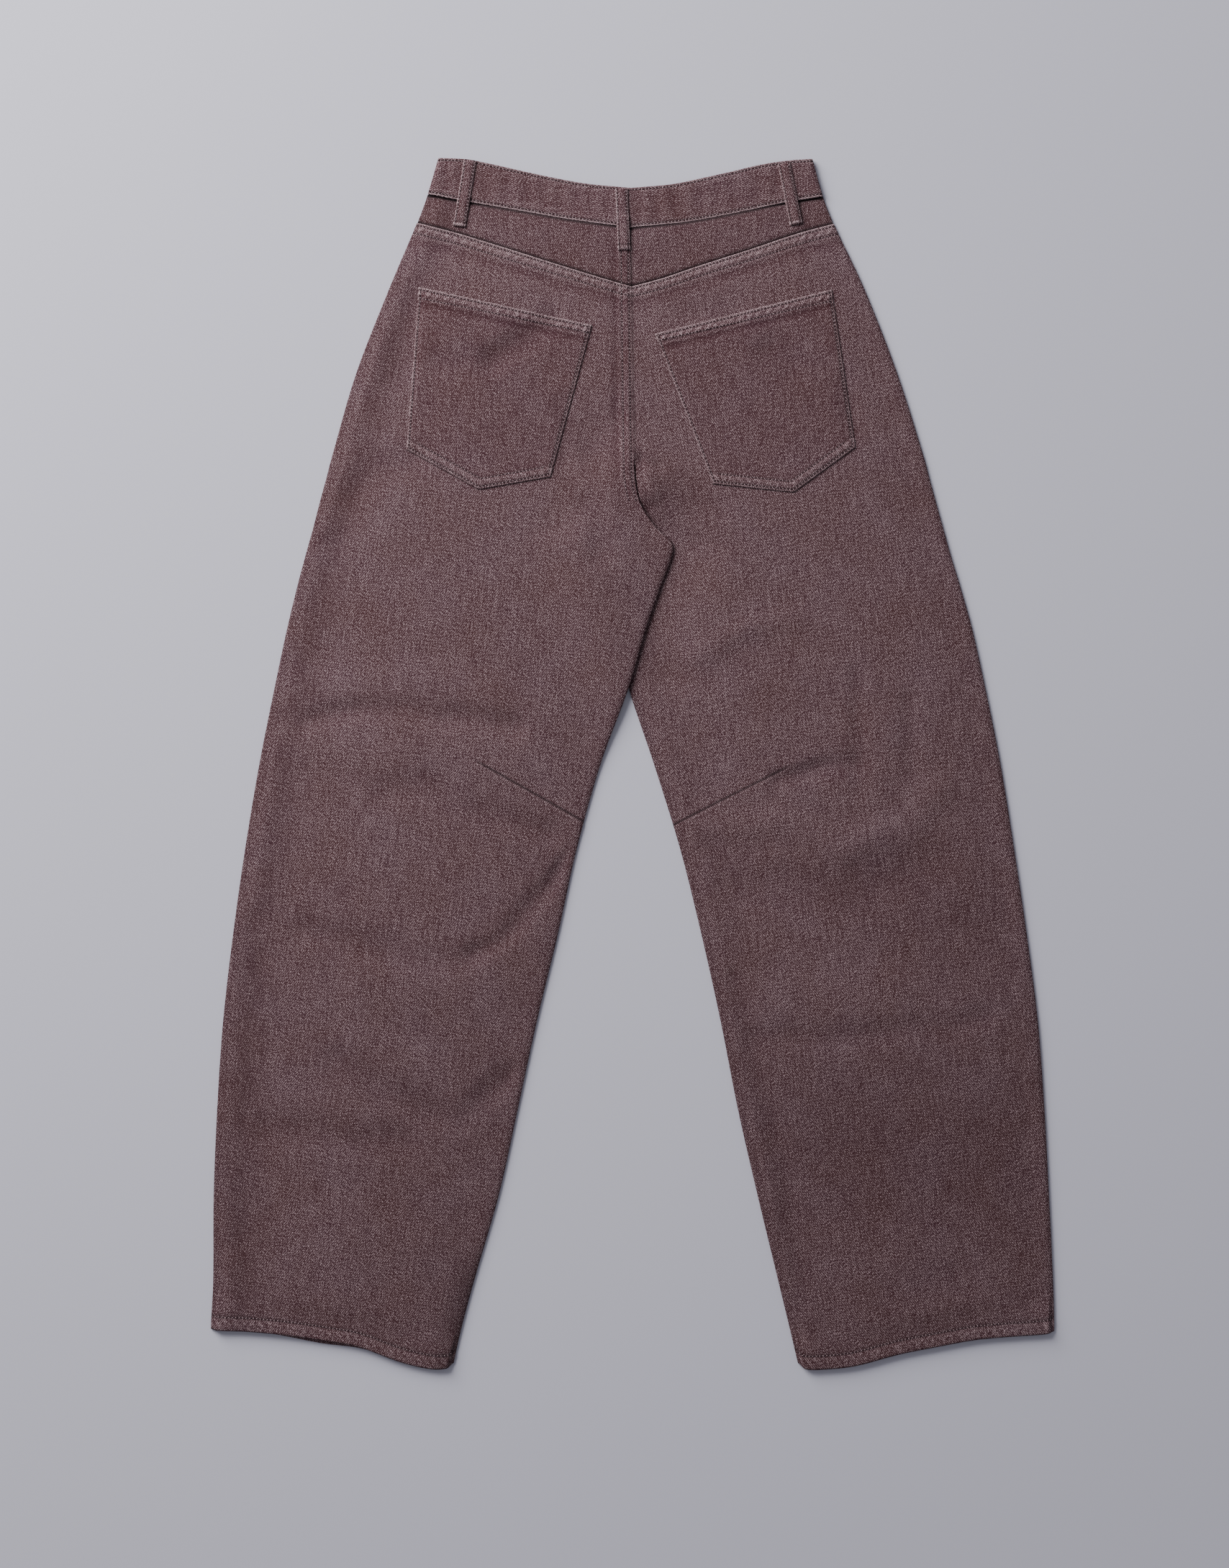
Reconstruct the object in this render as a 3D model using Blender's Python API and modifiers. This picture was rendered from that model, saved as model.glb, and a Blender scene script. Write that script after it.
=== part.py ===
"""Barrel leg trousers of dark denim, laid flat on their front with the back up.

Metres, +Z up. X runs across the garment, Y from the hems up to the waist, Z through the layers.
The origin lies under the middle of the garment, on the surface that it rests on.
Tables and places on the cloth are in millimetres, and MM turns them to metres.
"""

from bisect import bisect_right
from collections import namedtuple
from math import hypot

import bmesh
import bpy

MM = 0.001
CLOTH = 1.2
BAND = 2.6
LOOP_CLOTH = 1.8
ZIP_THICK = 1.0
SEAM_GAP = 0.3
LAY_GAP = 0.35

# Space left between the front and the back layer, besides the gap at the seams.
LEAST_RELIEF = 0.05
MOST_RELIEF = 3.6

# The hems are turned up inside, clear of the leg's folded sides and of the fold at the bottom.
HEM_DEPTH = 12.0
HEM_RELIEF = 2 * (CLOTH + SEAM_GAP) + 0.1
HEM_SIDE_INSET = 7.0
HEM_FOLD = 1.0
HEM_CLEAR = 2.0
HEM_BLEND = 20.0
HEM_PEEK_SHARE = 0.45
HEM_PEEK_REACH = 0.3

# The left leg's inner thigh lies over the right leg's, two layers on two.
LAP_PRESSED = 0.25
LAP_LIFT = 2 * (CLOTH + SEAM_GAP) + 1.0
LAP_MARGIN = 4.0
LAP_FALL = 30.0

FRONT_DIP = 18.0
FRONT_HEM_PEEK = 3.0
LOOP_WIDTH = 11.0
LOOP_BRIDGES = (-4, -2, 0, 2, 4)
BUTTON_RADIUS = 8.5
BUTTON_THICK = 1.4
BUTTON_LEVEL = 461.0
BUTTON_FLAT = 12.0
BUTTON_SPREAD = 55.0
YOKE_OVER_BUTTON = 0.35
FLY_LENGTH = 140.0
FLY_LAP = 16.0
ROW_STEP = 25.0
FRONT_ROW_STEP = 50.0
LAP_ROW_STEP = 13.0
LEAST_ROW = 8.0
LAP_HIGH, LAP_LOW = 300.0, 30.0
OUTER_STEPS = (0.0, 0.008, 0.03, 0.08)
INNER_STEPS = (0.0, 0.006, 0.018, 0.045, 0.09, 0.14, 0.19, 0.24, 0.3)

# The outline, a row for each level from the waist down. Above the crotch both inseam columns hold
# the seat seam. Below it the left leg reaches past the right one, which is hidden under it.
Station = namedtuple("Station", "level left_side left_inseam right_inseam right_side")
STATIONS = (
    Station(521.0, -167.0, -1.5, -1.5, 154.5),
    Station(490.5, -176.0, -1.5, -1.5, 163.0),
    Station(464.5, -185.5, -1.5, -1.5, 173.0),
    Station(410.0, -208.5, -1.0, -1.0, 198.5),
    Station(335.5, -237.5, 0.0, 0.0, 227.5),
    Station(261.5, -259.0, 1.0, 1.0, 251.0),
    Station(246.0, -263.0, 1.5, -2.0, 255.0),
    Station(224.0, -269.0, 6.0, -8.5, 261.0),
    Station(202.5, -274.5, 20.0, -22.5, 267.0),
    Station(190.0, -278.0, 33.5, -36.0, 270.5),
    Station(177.5, -281.5, 33.0, -35.5, 274.0),
    Station(153.0, -288.0, 24.0, -26.0, 281.5),
    Station(115.5, -297.0, 11.0, -13.5, 292.0),
    Station(66.0, -307.5, -3.5, -3.0, 303.0),
    Station(1.0, -320.5, -27.5, 18.5, 316.0),
    Station(-73.5, -333.0, -48.5, 41.5, 328.0),
    Station(-148.0, -343.5, -65.0, 60.0, 339.0),
    Station(-222.5, -352.0, -83.0, 76.5, 348.5),
    Station(-296.5, -357.0, -99.0, 91.0, 354.0),
    Station(-371.0, -360.0, -115.5, 108.0, 358.0),
    Station(-445.5, -360.5, -137.0, 126.0, 361.5),
    Station(-489.0, -362.5, -148.5, 136.5, 362.5),
    Station(-523.0, -361.5, -156.0, 144.5, 361.0),
)
CROTCH_TOP = 254.0
CROTCH_POINT = 190.0

# Levels of the seams and edges that run across, by the share of the way from side to middle.
Across = namedtuple("Across", "share left right")
WAIST_EDGE = (
    Across(0.0, 521.0, 520.3),
    Across(0.15, 519.8, 518.5),
    Across(0.3, 515.1, 514.9),
    Across(0.45, 509.6, 509.5),
    Across(0.6, 504.3, 504.3),
    Across(0.78, 498.8, 498.4),
    Across(1.0, 495.0, 495.0),
)
WAIST_SEAM = (
    Across(0.0, 490.0, 488.0),
    Across(0.22, 482.8, 482.0),
    Across(0.47, 475.3, 473.4),
    Across(0.73, 467.3, 465.4),
    Across(1.0, 460.6, 460.6),
)
YOKE_SEAM = (
    Across(0.0, 465.5, 464.7),
    Across(0.2, 456.4, 455.7),
    Across(0.45, 442.8, 441.8),
    Across(0.7, 428.1, 427.6),
    Across(0.87, 417.8, 416.8),
    Across(1.0, 410.0, 410.0),
)
HEM_EDGE = (
    Across(0.0, -486.5, -488.5),
    Across(0.03, -487.5, -490.5),
    Across(0.15, -488.5, -492.5),
    Across(0.3, -491.5, -495.5),
    Across(0.45, -496.0, -501.5),
    Across(0.6, -501.5, -508.0),
    Across(0.78, -514.5, -518.0),
    Across(0.91, -520.5, -521.0),
    Across(0.98, -520.0, -520.5),
    Across(1.0, -516.0, -516.0),
)

# How far the back layer rises over the front one with the distance from a folded edge. The hump
# over the first centimetre is the seam's allowance, felt through the cloth.
Rise = namedtuple("Rise", "distance height")
EDGE_RISE = (
    Rise(0.0, 0.05),
    Rise(1.5, 0.8),
    Rise(4.0, 1.4),
    Rise(9.0, 1.7),
    Rise(16.0, 1.5),
    Rise(30.0, 1.9),
    Rise(60.0, 2.6),
    Rise(110.0, 2.9),
)

# The largest folds, a row for each: its line on the cloth, half its width, and its height.
Fold = namedtuple("Fold", "name line half_width height")
FOLDS = (
    Fold("left hip trough", ((-200, 272), (-247, 236), (-272, 162)), 22, -1.2),
    Fold("left pocket crease", ((-70, 376), (-142, 330)), 16, -0.7),
    Fold("right pocket dimple", ((112, 349), (138, 336)), 18, -0.7),
    Fold("left thigh trough", ((-45, 213), (-21, 154)), 14, -0.9),
    Fold("left upper ridge", ((-286, 69), (-153, 69)), 18, 0.7),
    Fold("left upper trough", ((-290, 45), (-150, 38)), 18, -1.6),
    Fold("left middle ridge", ((-286, 12), (-160, 10)), 16, 0.7),
    Fold("left middle trough", ((-207, -25), (-89, -43)), 17, -1.4),
    Fold("left knee fold", ((-57, -94), (-89, -128), (-129, -160), (-202, -165), (-266, -133)), 17, -1.9),
    Fold("left calf trough", ((-232, -265), (-148, -300), (-109, -265)), 17, -1.5),
    Fold("left outer calf trough", ((-300, -318), (-191, -318)), 20, -1.2),
    Fold("right knee dimple", ((139, -11), (182, 4)), 16, -1.5),
    Fold("right inner knee trough", ((196, 38), (196, -12)), 14, -1.0),
    Fold("right outer knee trough", ((239, 38), (239, -12)), 14, -1.0),
    Fold("right knee ridge", ((50, -61), (168, -74), (261, -18)), 22, 0.7),
    Fold("right calf step", ((131, -236), (327, -216)), 16, -1.0),
)
FOLD_FADE = 22.0

Pocket = namedtuple("Pocket", "name side top_outer top_inner low_inner point low_outer")
POCKETS = (
    Pocket("pocket_left", "left", (-184.2, 410.1), (-34.5, 376.7), (-70.3, 246.1), (-132.1, 235.2), (-194.6, 270)),
    Pocket("pocket_right", "right", (171.4, 407.8), (18.7, 369.2), (68.7, 240.1), (138.5, 232.8), (191.8, 271.7)),
)

Loop = namedtuple("Loop", "name top bottom")
LOOPS = (
    Loop("loop_left", (-139.5, 519.0), (-149.0, 461.5)),
    Loop("loop_centre", (-8.0, 494.0), (-6.5, 441.0)),
    Loop("loop_right", (132.5, 516.0), (141.5, 463.5)),
)

SIDES = ("left", "right")
INNER_SIGN = {"left": -1, "right": 1}


def finish(name, colour, roughness, metallic=0.0):
    """A plain Principled material of this colour."""
    made = bpy.data.materials.new(name)
    made.use_nodes = True
    shader = made.node_tree.nodes["Principled BSDF"]
    shader.inputs["Base Color"].default_value = (*colour, 1.0)
    shader.inputs["Roughness"].default_value = roughness
    shader.inputs["Metallic"].default_value = metallic
    return made


def smooth_through(rows, at, column):
    """A column's value at a place in the first column, on a smooth curve through the rows."""
    rows = sorted(rows)
    keys = [row[0] for row in rows]
    values = [row[column] for row in rows]
    if at <= keys[0]:
        return values[0]
    if at >= keys[-1]:
        return values[-1]
    here = bisect_right(keys, at) - 1

    def slope(row):
        before, after = max(row - 1, 0), min(row + 1, len(rows) - 1)
        return (values[after] - values[before]) / (keys[after] - keys[before])

    step = keys[here + 1] - keys[here]
    t = (at - keys[here]) / step
    start = (1 + 2 * t) * (1 - t) ** 2 * values[here] + t * (1 - t) ** 2 * step * slope(here)
    end = t * t * (3 - 2 * t) * values[here + 1] - t * t * (1 - t) * step * slope(here + 1)
    return start + end


def eased(t):
    """0 to 1 with a soft start and end."""
    t = min(max(t, 0.0), 1.0)
    return t * t * (3 - 2 * t)


def side_x(side, level):
    return smooth_through(STATIONS, level, Station._fields.index(side + "_side"))


def inner_x(side, level):
    """The seat seam or, below the crotch, the leg's inner edge."""
    edge = smooth_through(STATIONS, level, Station._fields.index(side + "_inseam"))
    return edge + INNER_SIGN[side] * SEAM_GAP / 2


def across_level(rows, side, share):
    return smooth_through(rows, share, Across._fields.index(side))


def front_dip(share):
    """How much lower the front of the waist is than the back."""
    return FRONT_DIP * eased(share)


def lap(x, y):
    """1 where the left thigh lies over the right one, falling to 0 around it."""
    left, right = inner_x("left", y), inner_x("right", y)
    half = (left - right) / 2 if y < CROTCH_TOP else CROTCH_TOP - y
    beyond = abs(x - (left + right) / 2) - half
    return eased(1 - (beyond - LAP_MARGIN) / LAP_FALL)


def button_bump(x, y):
    """How far the waistband's two layers rise over the button under them."""
    away = hypot(x - inner_x("left", y), y - BUTTON_LEVEL)
    share = 1 - (away - BUTTON_FLAT) / BUTTON_SPREAD
    return (BUTTON_THICK + SEAM_GAP) * eased(share)


def distance_to_line(x, y, line):
    """The distance to a line of straight stretches."""
    nearest = float("inf")
    for (ax, ay), (bx, by) in zip(line, line[1:]):
        dx, dy = bx - ax, by - ay
        t = min(max(((x - ax) * dx + (y - ay) * dy) / (dx * dx + dy * dy), 0.0), 1.0)
        nearest = min(nearest, hypot(x - ax - t * dx, y - ay - t * dy))
    return nearest


def edge_distance(side, x, y):
    """The distance to the leg's nearest folded edge. The seat seam isn't folded."""
    from_side = abs(x - side_x(side, y))
    from_inner = abs(x - inner_x(side, y)) + 1.2 * max(0.0, y - CROTCH_POINT)
    return min(from_side, from_inner)


def relief(side, x, y):
    """How far the back layer's underside is above its lowest place, on the front layer."""
    away = edge_distance(side, x, y)
    height = smooth_through(EDGE_RISE, away, 1)
    folds = 0.0
    for fold in FOLDS:
        reach = distance_to_line(x, y, fold.line) / (2 * fold.half_width)
        folds += fold.height * (1 - eased(reach))
    height += folds * eased(away / FOLD_FADE) + YOKE_OVER_BUTTON * button_bump(x, y)
    share = (x - side_x(side, y)) / (inner_x(side, y) - side_x(side, y))
    from_hem = y - across_level(HEM_EDGE, side, share)
    at_hem = eased((HEM_DEPTH + HEM_CLEAR + HEM_BLEND - from_hem) / HEM_BLEND)
    hem_height = HEM_RELIEF * eased(away / (HEM_SIDE_INSET - HEM_CLEAR))
    height += (hem_height - height) * at_hem
    if side == "right":
        height *= 1 - (1 - LAP_PRESSED) * lap(x, y)
    return min(max(height, LEAST_RELIEF), MOST_RELIEF)


def lap_lift(side, x, y):
    return LAP_LIFT * lap(x, y) if side == "left" else 0.0


def front_under(side, x, y):
    return lap_lift(side, x, y)


def back_under(side, x, y):
    return CLOTH + SEAM_GAP + relief(side, x, y) + lap_lift(side, x, y)


def band_under(x, y):
    return BAND + SEAM_GAP + button_bump(x, y)


def cloth_sheet(name, rows, thickness, material):
    """One piece of cloth: a grid of its underside's points in mm, given its thickness upwards."""
    mesh = bpy.data.meshes.new(name)
    shape = bmesh.new()
    grid = [[shape.verts.new((x * MM, y * MM, z * MM)) for x, y, z in row] for row in rows]
    for upper, lower in zip(grid, grid[1:]):
        for k in range(len(upper) - 1):
            face = shape.faces.new((upper[k], upper[k + 1], lower[k + 1], lower[k]))
            face.smooth = True
    for face in shape.faces:
        face.normal_update()
        if face.normal.z < 0:
            face.normal_flip()
    shape.to_mesh(mesh)
    shape.free()
    mesh.materials.append(material)
    piece = bpy.data.objects.new(name, mesh)
    garment.objects.link(piece)
    wall = piece.modifiers.new("Wall", "SOLIDIFY")
    wall.thickness = thickness * MM
    wall.offset = 1.0


def shares(from_outer, middle, from_inner):
    """Places across a piece from 0 to 1, closer together towards both edges."""
    first, last = from_outer[-1], 1 - from_inner[-1]
    between = [first + (last - first) * k / middle for k in range(1, middle)]
    return list(from_outer) + between + [1 - step for step in reversed(from_inner)]


def even(count):
    return [k / count for k in range(count + 1)]


def level_steps(top, bottom, plain_step, lap_step):
    """Places down a panel from 0 to 1: every station between its ends, and steps between those."""
    hem_top = bottom + HEM_DEPTH + HEM_CLEAR
    marks = [row.level for row in STATIONS if hem_top + LEAST_ROW < row.level < top - LEAST_ROW]
    marks = [top] + marks + [hem_top, bottom]
    levels = [top]
    for high, low in zip(marks, marks[1:]):
        step = lap_step if LAP_LOW < (high + low) / 2 < LAP_HIGH else plain_step
        count = max(1, round((high - low) / step))
        levels += [high + (low - high) * k / count for k in range(1, count + 1)]
    return [(top - level) / (top - bottom) for level in levels]


def panel_rows(side, across, down, top, bottom, under):
    """The grid of a piece between the side edge and the inner edge. top and bottom give levels."""
    rows = []
    for v in down:
        row = []
        for u in across:
            level = top(u) + (bottom(u) - top(u)) * v
            x = side_x(side, level) + (inner_x(side, level) - side_x(side, level)) * u
            row.append((x, level, under(side, x, level)))
        rows.append(row)
    return rows


def leg_backs():
    """The two back panels, from the yoke seam to the hem."""
    across = shares(OUTER_STEPS, 7, INNER_STEPS)
    for side in SIDES:

        def top(u):
            return across_level(YOKE_SEAM, side, u) - SEAM_GAP / 2

        def bottom(u):
            return across_level(HEM_EDGE, side, u)

        down = level_steps(top(1), bottom(1), ROW_STEP, LAP_ROW_STEP)
        rows = panel_rows(side, across, down, top, bottom, back_under)
        cloth_sheet("back_" + side, rows, CLOTH, denim)


def front_hem(side, share):
    """The front's hem, which shows a little below the back's on the left leg."""
    if side == "right":
        return across_level(HEM_EDGE, side, share)
    near = 1 - abs(share - HEM_PEEK_SHARE) / HEM_PEEK_REACH
    return across_level(HEM_EDGE, side, share) - FRONT_HEM_PEEK * eased(near)


def leg_fronts():
    """The two front panels, flat on the surface but where the left thigh lies over the right."""
    across = {"left": even(8)[:5] + [0.5 + 0.5 * u for u in even(14)[1:]], "right": even(8)}
    lap_steps = {"left": LAP_ROW_STEP, "right": FRONT_ROW_STEP}
    for side in SIDES:

        def top(u):
            return across_level(WAIST_SEAM, side, u) - front_dip(u) - SEAM_GAP

        def bottom(u):
            return front_hem(side, u)

        down = level_steps(top(1), bottom(1), FRONT_ROW_STEP, lap_steps[side])
        rows = panel_rows(side, across[side], down, top, bottom, front_under)
        cloth_sheet("front_" + side, rows, CLOTH, denim)


def yokes():
    """The two halves of the back yoke, between the waistband and the V of the yoke seam."""
    across = shares(OUTER_STEPS, 7, INNER_STEPS)
    for side in SIDES:

        def top(u):
            return across_level(WAIST_SEAM, side, u) - SEAM_GAP / 2

        def bottom(u):
            return across_level(YOKE_SEAM, side, u) + SEAM_GAP / 2

        rows = panel_rows(side, across, even(3), top, bottom, back_under)
        cloth_sheet("yoke_" + side, rows, CLOTH, denim)


def waistband_back():
    """The back of the waistband in one piece from side to side."""
    across = shares(OUTER_STEPS, 7, INNER_STEPS)
    rows = []
    for v in even(2):
        row = []
        for side in SIDES:
            for u in across if side == "left" else across[-2::-1]:
                high = across_level(WAIST_EDGE, side, u)
                low = across_level(WAIST_SEAM, side, u) + SEAM_GAP / 2
                level = high + (low - high) * v
                middle = (inner_x("left", level) + inner_x("right", level)) / 2
                x = side_x(side, level) + (middle - side_x(side, level)) * u
                row.append((x, level, band_under(x, level)))
        rows.append(row)
    cloth_sheet("waistband_back", rows, BAND, denim)


def waistband_fronts():
    """The front of the waistband in two halves, the left one lapping past the middle."""
    for side in SIDES:
        half_width = abs(side_x(side, BUTTON_LEVEL) - inner_x(side, BUTTON_LEVEL))
        last = 1 - (INNER_SIGN[side] * FLY_LAP) / half_width
        rows = []
        for v in even(2):
            row = []
            for u in [last * step for step in even(12)]:
                high = across_level(WAIST_EDGE, side, u) - front_dip(u)
                low = across_level(WAIST_SEAM, side, u) - front_dip(u) + SEAM_GAP / 2
                level = high + (low - high) * v
                x = side_x(side, level) + (inner_x(side, level) - side_x(side, level)) * u
                row.append((x, level, button_bump(x, level)))
            rows.append(row)
        cloth_sheet("waistband_front_" + side, rows, BAND, denim)


def pockets():
    """Patch pockets with a pointed bottom, made from the back panel's own heights."""
    for pocket in POCKETS:
        ox, inner = pocket.low_outer[0], pocket.low_inner[0]
        point_share = (pocket.point[0] - ox) / (inner - ox)
        across = [u * point_share for u in even(5)]
        across += [point_share + (1 - point_share) * u for u in even(6)[1:]]
        rows = []
        for v in even(11):
            row = []
            for u in across:
                if u <= point_share:
                    start, end, t = pocket.low_outer, pocket.point, u / point_share
                else:
                    start, end, t = pocket.point, pocket.low_inner, (u - point_share) / (1 - point_share)
                low = [a + (b - a) * t for a, b in zip(start, end)]
                high = [a + (b - a) * u for a, b in zip(pocket.top_outer, pocket.top_inner)]
                x, y = (a + (b - a) * v for a, b in zip(high, low))
                row.append((x, y, back_under(pocket.side, x, y) + CLOTH + LAY_GAP))
            rows.append(row)
        cloth_sheet(pocket.name, rows, CLOTH, denim)


def top_of_waist(x, y):
    """The height of the waistband or the yoke, whichever lies at this place."""
    side = "left" if x < inner_x("left", y) else "right"
    share = (x - side_x(side, y)) / (inner_x(side, y) - side_x(side, y))
    if y > across_level(WAIST_SEAM, side, share):
        return band_under(x, y) + BAND
    return back_under(side, x, y) + CLOTH


def belt_loops():
    """Folded strips over the waistband, sewn on at its top edge and on the yoke."""
    half = LOOP_WIDTH / 2
    for loop in LOOPS:
        (tx, ty), (bx, by) = loop.top, loop.bottom
        length = hypot(bx - tx, by - ty)
        dx, dy = (bx - tx) / length, (by - ty) / length
        rows = []
        for v in even(14):
            cx, cy = tx + (bx - tx) * v, ty + (by - ty) * v
            around = [
                top_of_waist(cx + along * dx - aside * dy, cy + along * dy + aside * dx)
                for along in LOOP_BRIDGES
                for aside in (-half, 0, half)
            ]
            under = max(around) + LAY_GAP
            rows.append([(cx - aside * dy, cy + aside * dx, under) for aside in (-half, 0, half)])
        cloth_sheet(loop.name, rows, LOOP_CLOTH, denim)


def hems():
    """The turned-up strip inside each hem, one against the front and one against the back."""
    layers = (("front", front_hem, 1), ("back", lambda side, u: across_level(HEM_EDGE, side, u), 2))
    for side in SIDES:
        for layer, edge, place in layers:
            level = across_level(HEM_EDGE, side, 0.5)
            inset = HEM_SIDE_INSET / abs(inner_x(side, level) - side_x(side, level))
            across = [inset + (1 - 2 * inset) * u for u in even(12)]
            height = place * (CLOTH + SEAM_GAP)

            def top(u):
                return edge(side, u) + HEM_DEPTH

            def bottom(u):
                return edge(side, u) + HEM_FOLD

            def under(_side, _x, _y):
                return height

            rows = panel_rows(side, across, even(1), top, bottom, under)
            cloth_sheet(f"hem_{layer}_{side}", rows, CLOTH, denim)


def fly():
    """The zip on its tape and the fly shield behind it, inside the front opening."""
    top = across_level(WAIST_SEAM, "left", 1) - FRONT_DIP - 1.5
    middle = inner_x("left", top)
    for name, left, right, length, under, thick, material in (
        ("zip", -12, 12, FLY_LENGTH, CLOTH + SEAM_GAP, ZIP_THICK, zip_tape),
        ("fly_shield", -10, 28, FLY_LENGTH + 12, CLOTH + 2 * SEAM_GAP + ZIP_THICK, CLOTH, denim),
    ):
        rows = [
            [(middle + left, level, under), (middle + right, level, under)]
            for level in (top, top - length)
        ]
        cloth_sheet(name, rows, thick, material)


def waist_button():
    """The button under the front waistband, its face down."""
    shape = bmesh.new()
    bmesh.ops.create_cone(
        shape,
        cap_ends=True,
        segments=28,
        radius1=BUTTON_RADIUS * MM,
        radius2=BUTTON_RADIUS * MM,
        depth=BUTTON_THICK * MM,
    )
    mesh = bpy.data.meshes.new("waist_button")
    shape.to_mesh(mesh)
    shape.free()
    mesh.materials.append(metal)
    button = bpy.data.objects.new("waist_button", mesh)
    x = inner_x("left", BUTTON_LEVEL)
    button.location = (x * MM, BUTTON_LEVEL * MM, BUTTON_THICK / 2 * MM)
    garment.objects.link(button)


for old in list(bpy.data.objects):
    bpy.data.objects.remove(old, do_unlink=True)
garment = bpy.data.collections.new("barrel leg trousers")
bpy.context.scene.collection.children.link(garment)
denim = finish("dark denim", (0.138, 0.083, 0.091), 0.85)
zip_tape = finish("zip tape and teeth", (0.05, 0.04, 0.042), 0.6)
metal = finish("dark metal", (0.16, 0.14, 0.13), 0.4, 1.0)

leg_fronts()
waistband_fronts()
fly()
waist_button()
hems()
leg_backs()
yokes()
waistband_back()
pockets()
belt_loops()
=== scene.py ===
from collections import namedtuple
from math import cos, hypot, pi, radians, sin

import bpy
import numpy as np
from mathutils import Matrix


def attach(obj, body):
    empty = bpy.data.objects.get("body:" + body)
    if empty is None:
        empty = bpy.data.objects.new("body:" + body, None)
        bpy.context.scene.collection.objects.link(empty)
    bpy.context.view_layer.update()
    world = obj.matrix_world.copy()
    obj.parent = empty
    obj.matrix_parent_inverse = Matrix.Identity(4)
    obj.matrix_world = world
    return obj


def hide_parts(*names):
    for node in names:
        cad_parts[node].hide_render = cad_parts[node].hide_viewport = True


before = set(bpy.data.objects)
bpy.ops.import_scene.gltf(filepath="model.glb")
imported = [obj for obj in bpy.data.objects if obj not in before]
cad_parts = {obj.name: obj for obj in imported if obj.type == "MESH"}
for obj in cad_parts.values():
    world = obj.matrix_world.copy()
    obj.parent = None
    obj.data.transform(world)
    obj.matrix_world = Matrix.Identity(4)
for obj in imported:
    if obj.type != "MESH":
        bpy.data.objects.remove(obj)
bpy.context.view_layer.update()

# Camera
# It looks straight down from 2.4 m on the trousers, which lie on the floor with their back up.
# The picture takes in 1.351 m of the floor from top to bottom.
CAMERA_HEIGHT = 2.4
VIEW_LENGTH = 1.351
VIEW_MIDDLE = (-0.0155, -0.0174)
SENSOR = 36.0

lens = bpy.data.cameras.new("camera")
lens.sensor_width = SENSOR
lens.lens = SENSOR * CAMERA_HEIGHT / VIEW_LENGTH
camera = bpy.data.objects.new("camera", lens)
camera.location = (*VIEW_MIDDLE, CAMERA_HEIGHT)
bpy.context.scene.collection.objects.link(camera)
bpy.context.scene.camera = camera

# Floor and studio light
# A plain pale floor with a cool cast. One large softbox stands off the top left corner, so that
# the light falls off towards the hems, and the room's white walls fill the shadows.
FLOOR_COLOUR = "#C6C4D0"
FLOOR_SIZE = 9.0
SOFTBOX_PLACE = (-1.65, 1.75, 1.4)
SOFTBOX_SIZE = 1.9
SOFTBOX_POWER = 148.0
ROOM_COLOUR = "#DCDDE6"
ROOM_LIGHT = 0.38


def to_linear(colour):
    """The linear red, green and blue of an sRGB hex colour."""
    parts = [int(colour[i : i + 2], 16) / 255 for i in (1, 3, 5)]
    return [p / 12.92 if p <= 0.04045 else ((p + 0.055) / 1.055) ** 2.4 for p in parts]


def new_material(name):
    """A material by this name, with its node tree and its shader."""
    made = bpy.data.materials.new(name)
    made.use_nodes = True
    return made, made.node_tree, made.node_tree.nodes["Principled BSDF"]


def add_node(tree, kind, settings=(), inputs=()):
    """Adds a node with its settings. An input gets a value or another node's output."""
    made = tree.nodes.new(kind)
    for name, value in dict(settings).items():
        setattr(made, name, value)
    for name, value in dict(inputs).items():
        if isinstance(value, bpy.types.NodeSocket):
            tree.links.new(value, made.inputs[name])
        else:
            made.inputs[name].default_value = value
    return made


def floor_paint():
    """Smooth matt paint on the floor, with a slight unevenness in its gloss."""
    made, tree, shader = new_material("matt floor paint")
    shader.inputs["Base Color"].default_value = (*to_linear(FLOOR_COLOUR), 1.0)
    place = add_node(tree, "ShaderNodeTexCoord").outputs["Object"]
    uneven = add_node(tree, "ShaderNodeTexNoise", (), {"Vector": place, "Scale": 9.0}).outputs[0]
    spread = {"Value": uneven, "To Min": 0.78, "To Max": 0.9}
    gloss = add_node(tree, "ShaderNodeMapRange", (), spread).outputs[0]
    tree.links.new(gloss, shader.inputs["Roughness"])
    return made


half_floor = FLOOR_SIZE / 2
floor_mesh = bpy.data.meshes.new("floor")
corner_signs = ((-1, -1), (1, -1), (1, 1), (-1, 1))
floor_corners = [(x * half_floor, y * half_floor, 0.0) for x, y in corner_signs]
floor_mesh.from_pydata(floor_corners, [], [(0, 1, 2, 3)])
floor_mesh.materials.append(floor_paint())
floor = bpy.data.objects.new("floor", floor_mesh)
bpy.context.scene.collection.objects.link(floor)

softbox_light = bpy.data.lights.new("softbox", "AREA")
softbox_light.size = SOFTBOX_SIZE
softbox_light.energy = SOFTBOX_POWER
softbox = bpy.data.objects.new("softbox", softbox_light)
softbox.location = SOFTBOX_PLACE
softbox.rotation_euler = (-softbox.location).to_track_quat("-Z", "Y").to_euler()
bpy.context.scene.collection.objects.link(softbox)

room = bpy.data.worlds.new("white room")
room.use_nodes = True
room_shader = room.node_tree.nodes["Background"]
room_shader.inputs["Color"].default_value = (*to_linear(ROOM_COLOUR), 1.0)
room_shader.inputs["Strength"].default_value = ROOM_LIGHT
bpy.context.scene.world = room

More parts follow.
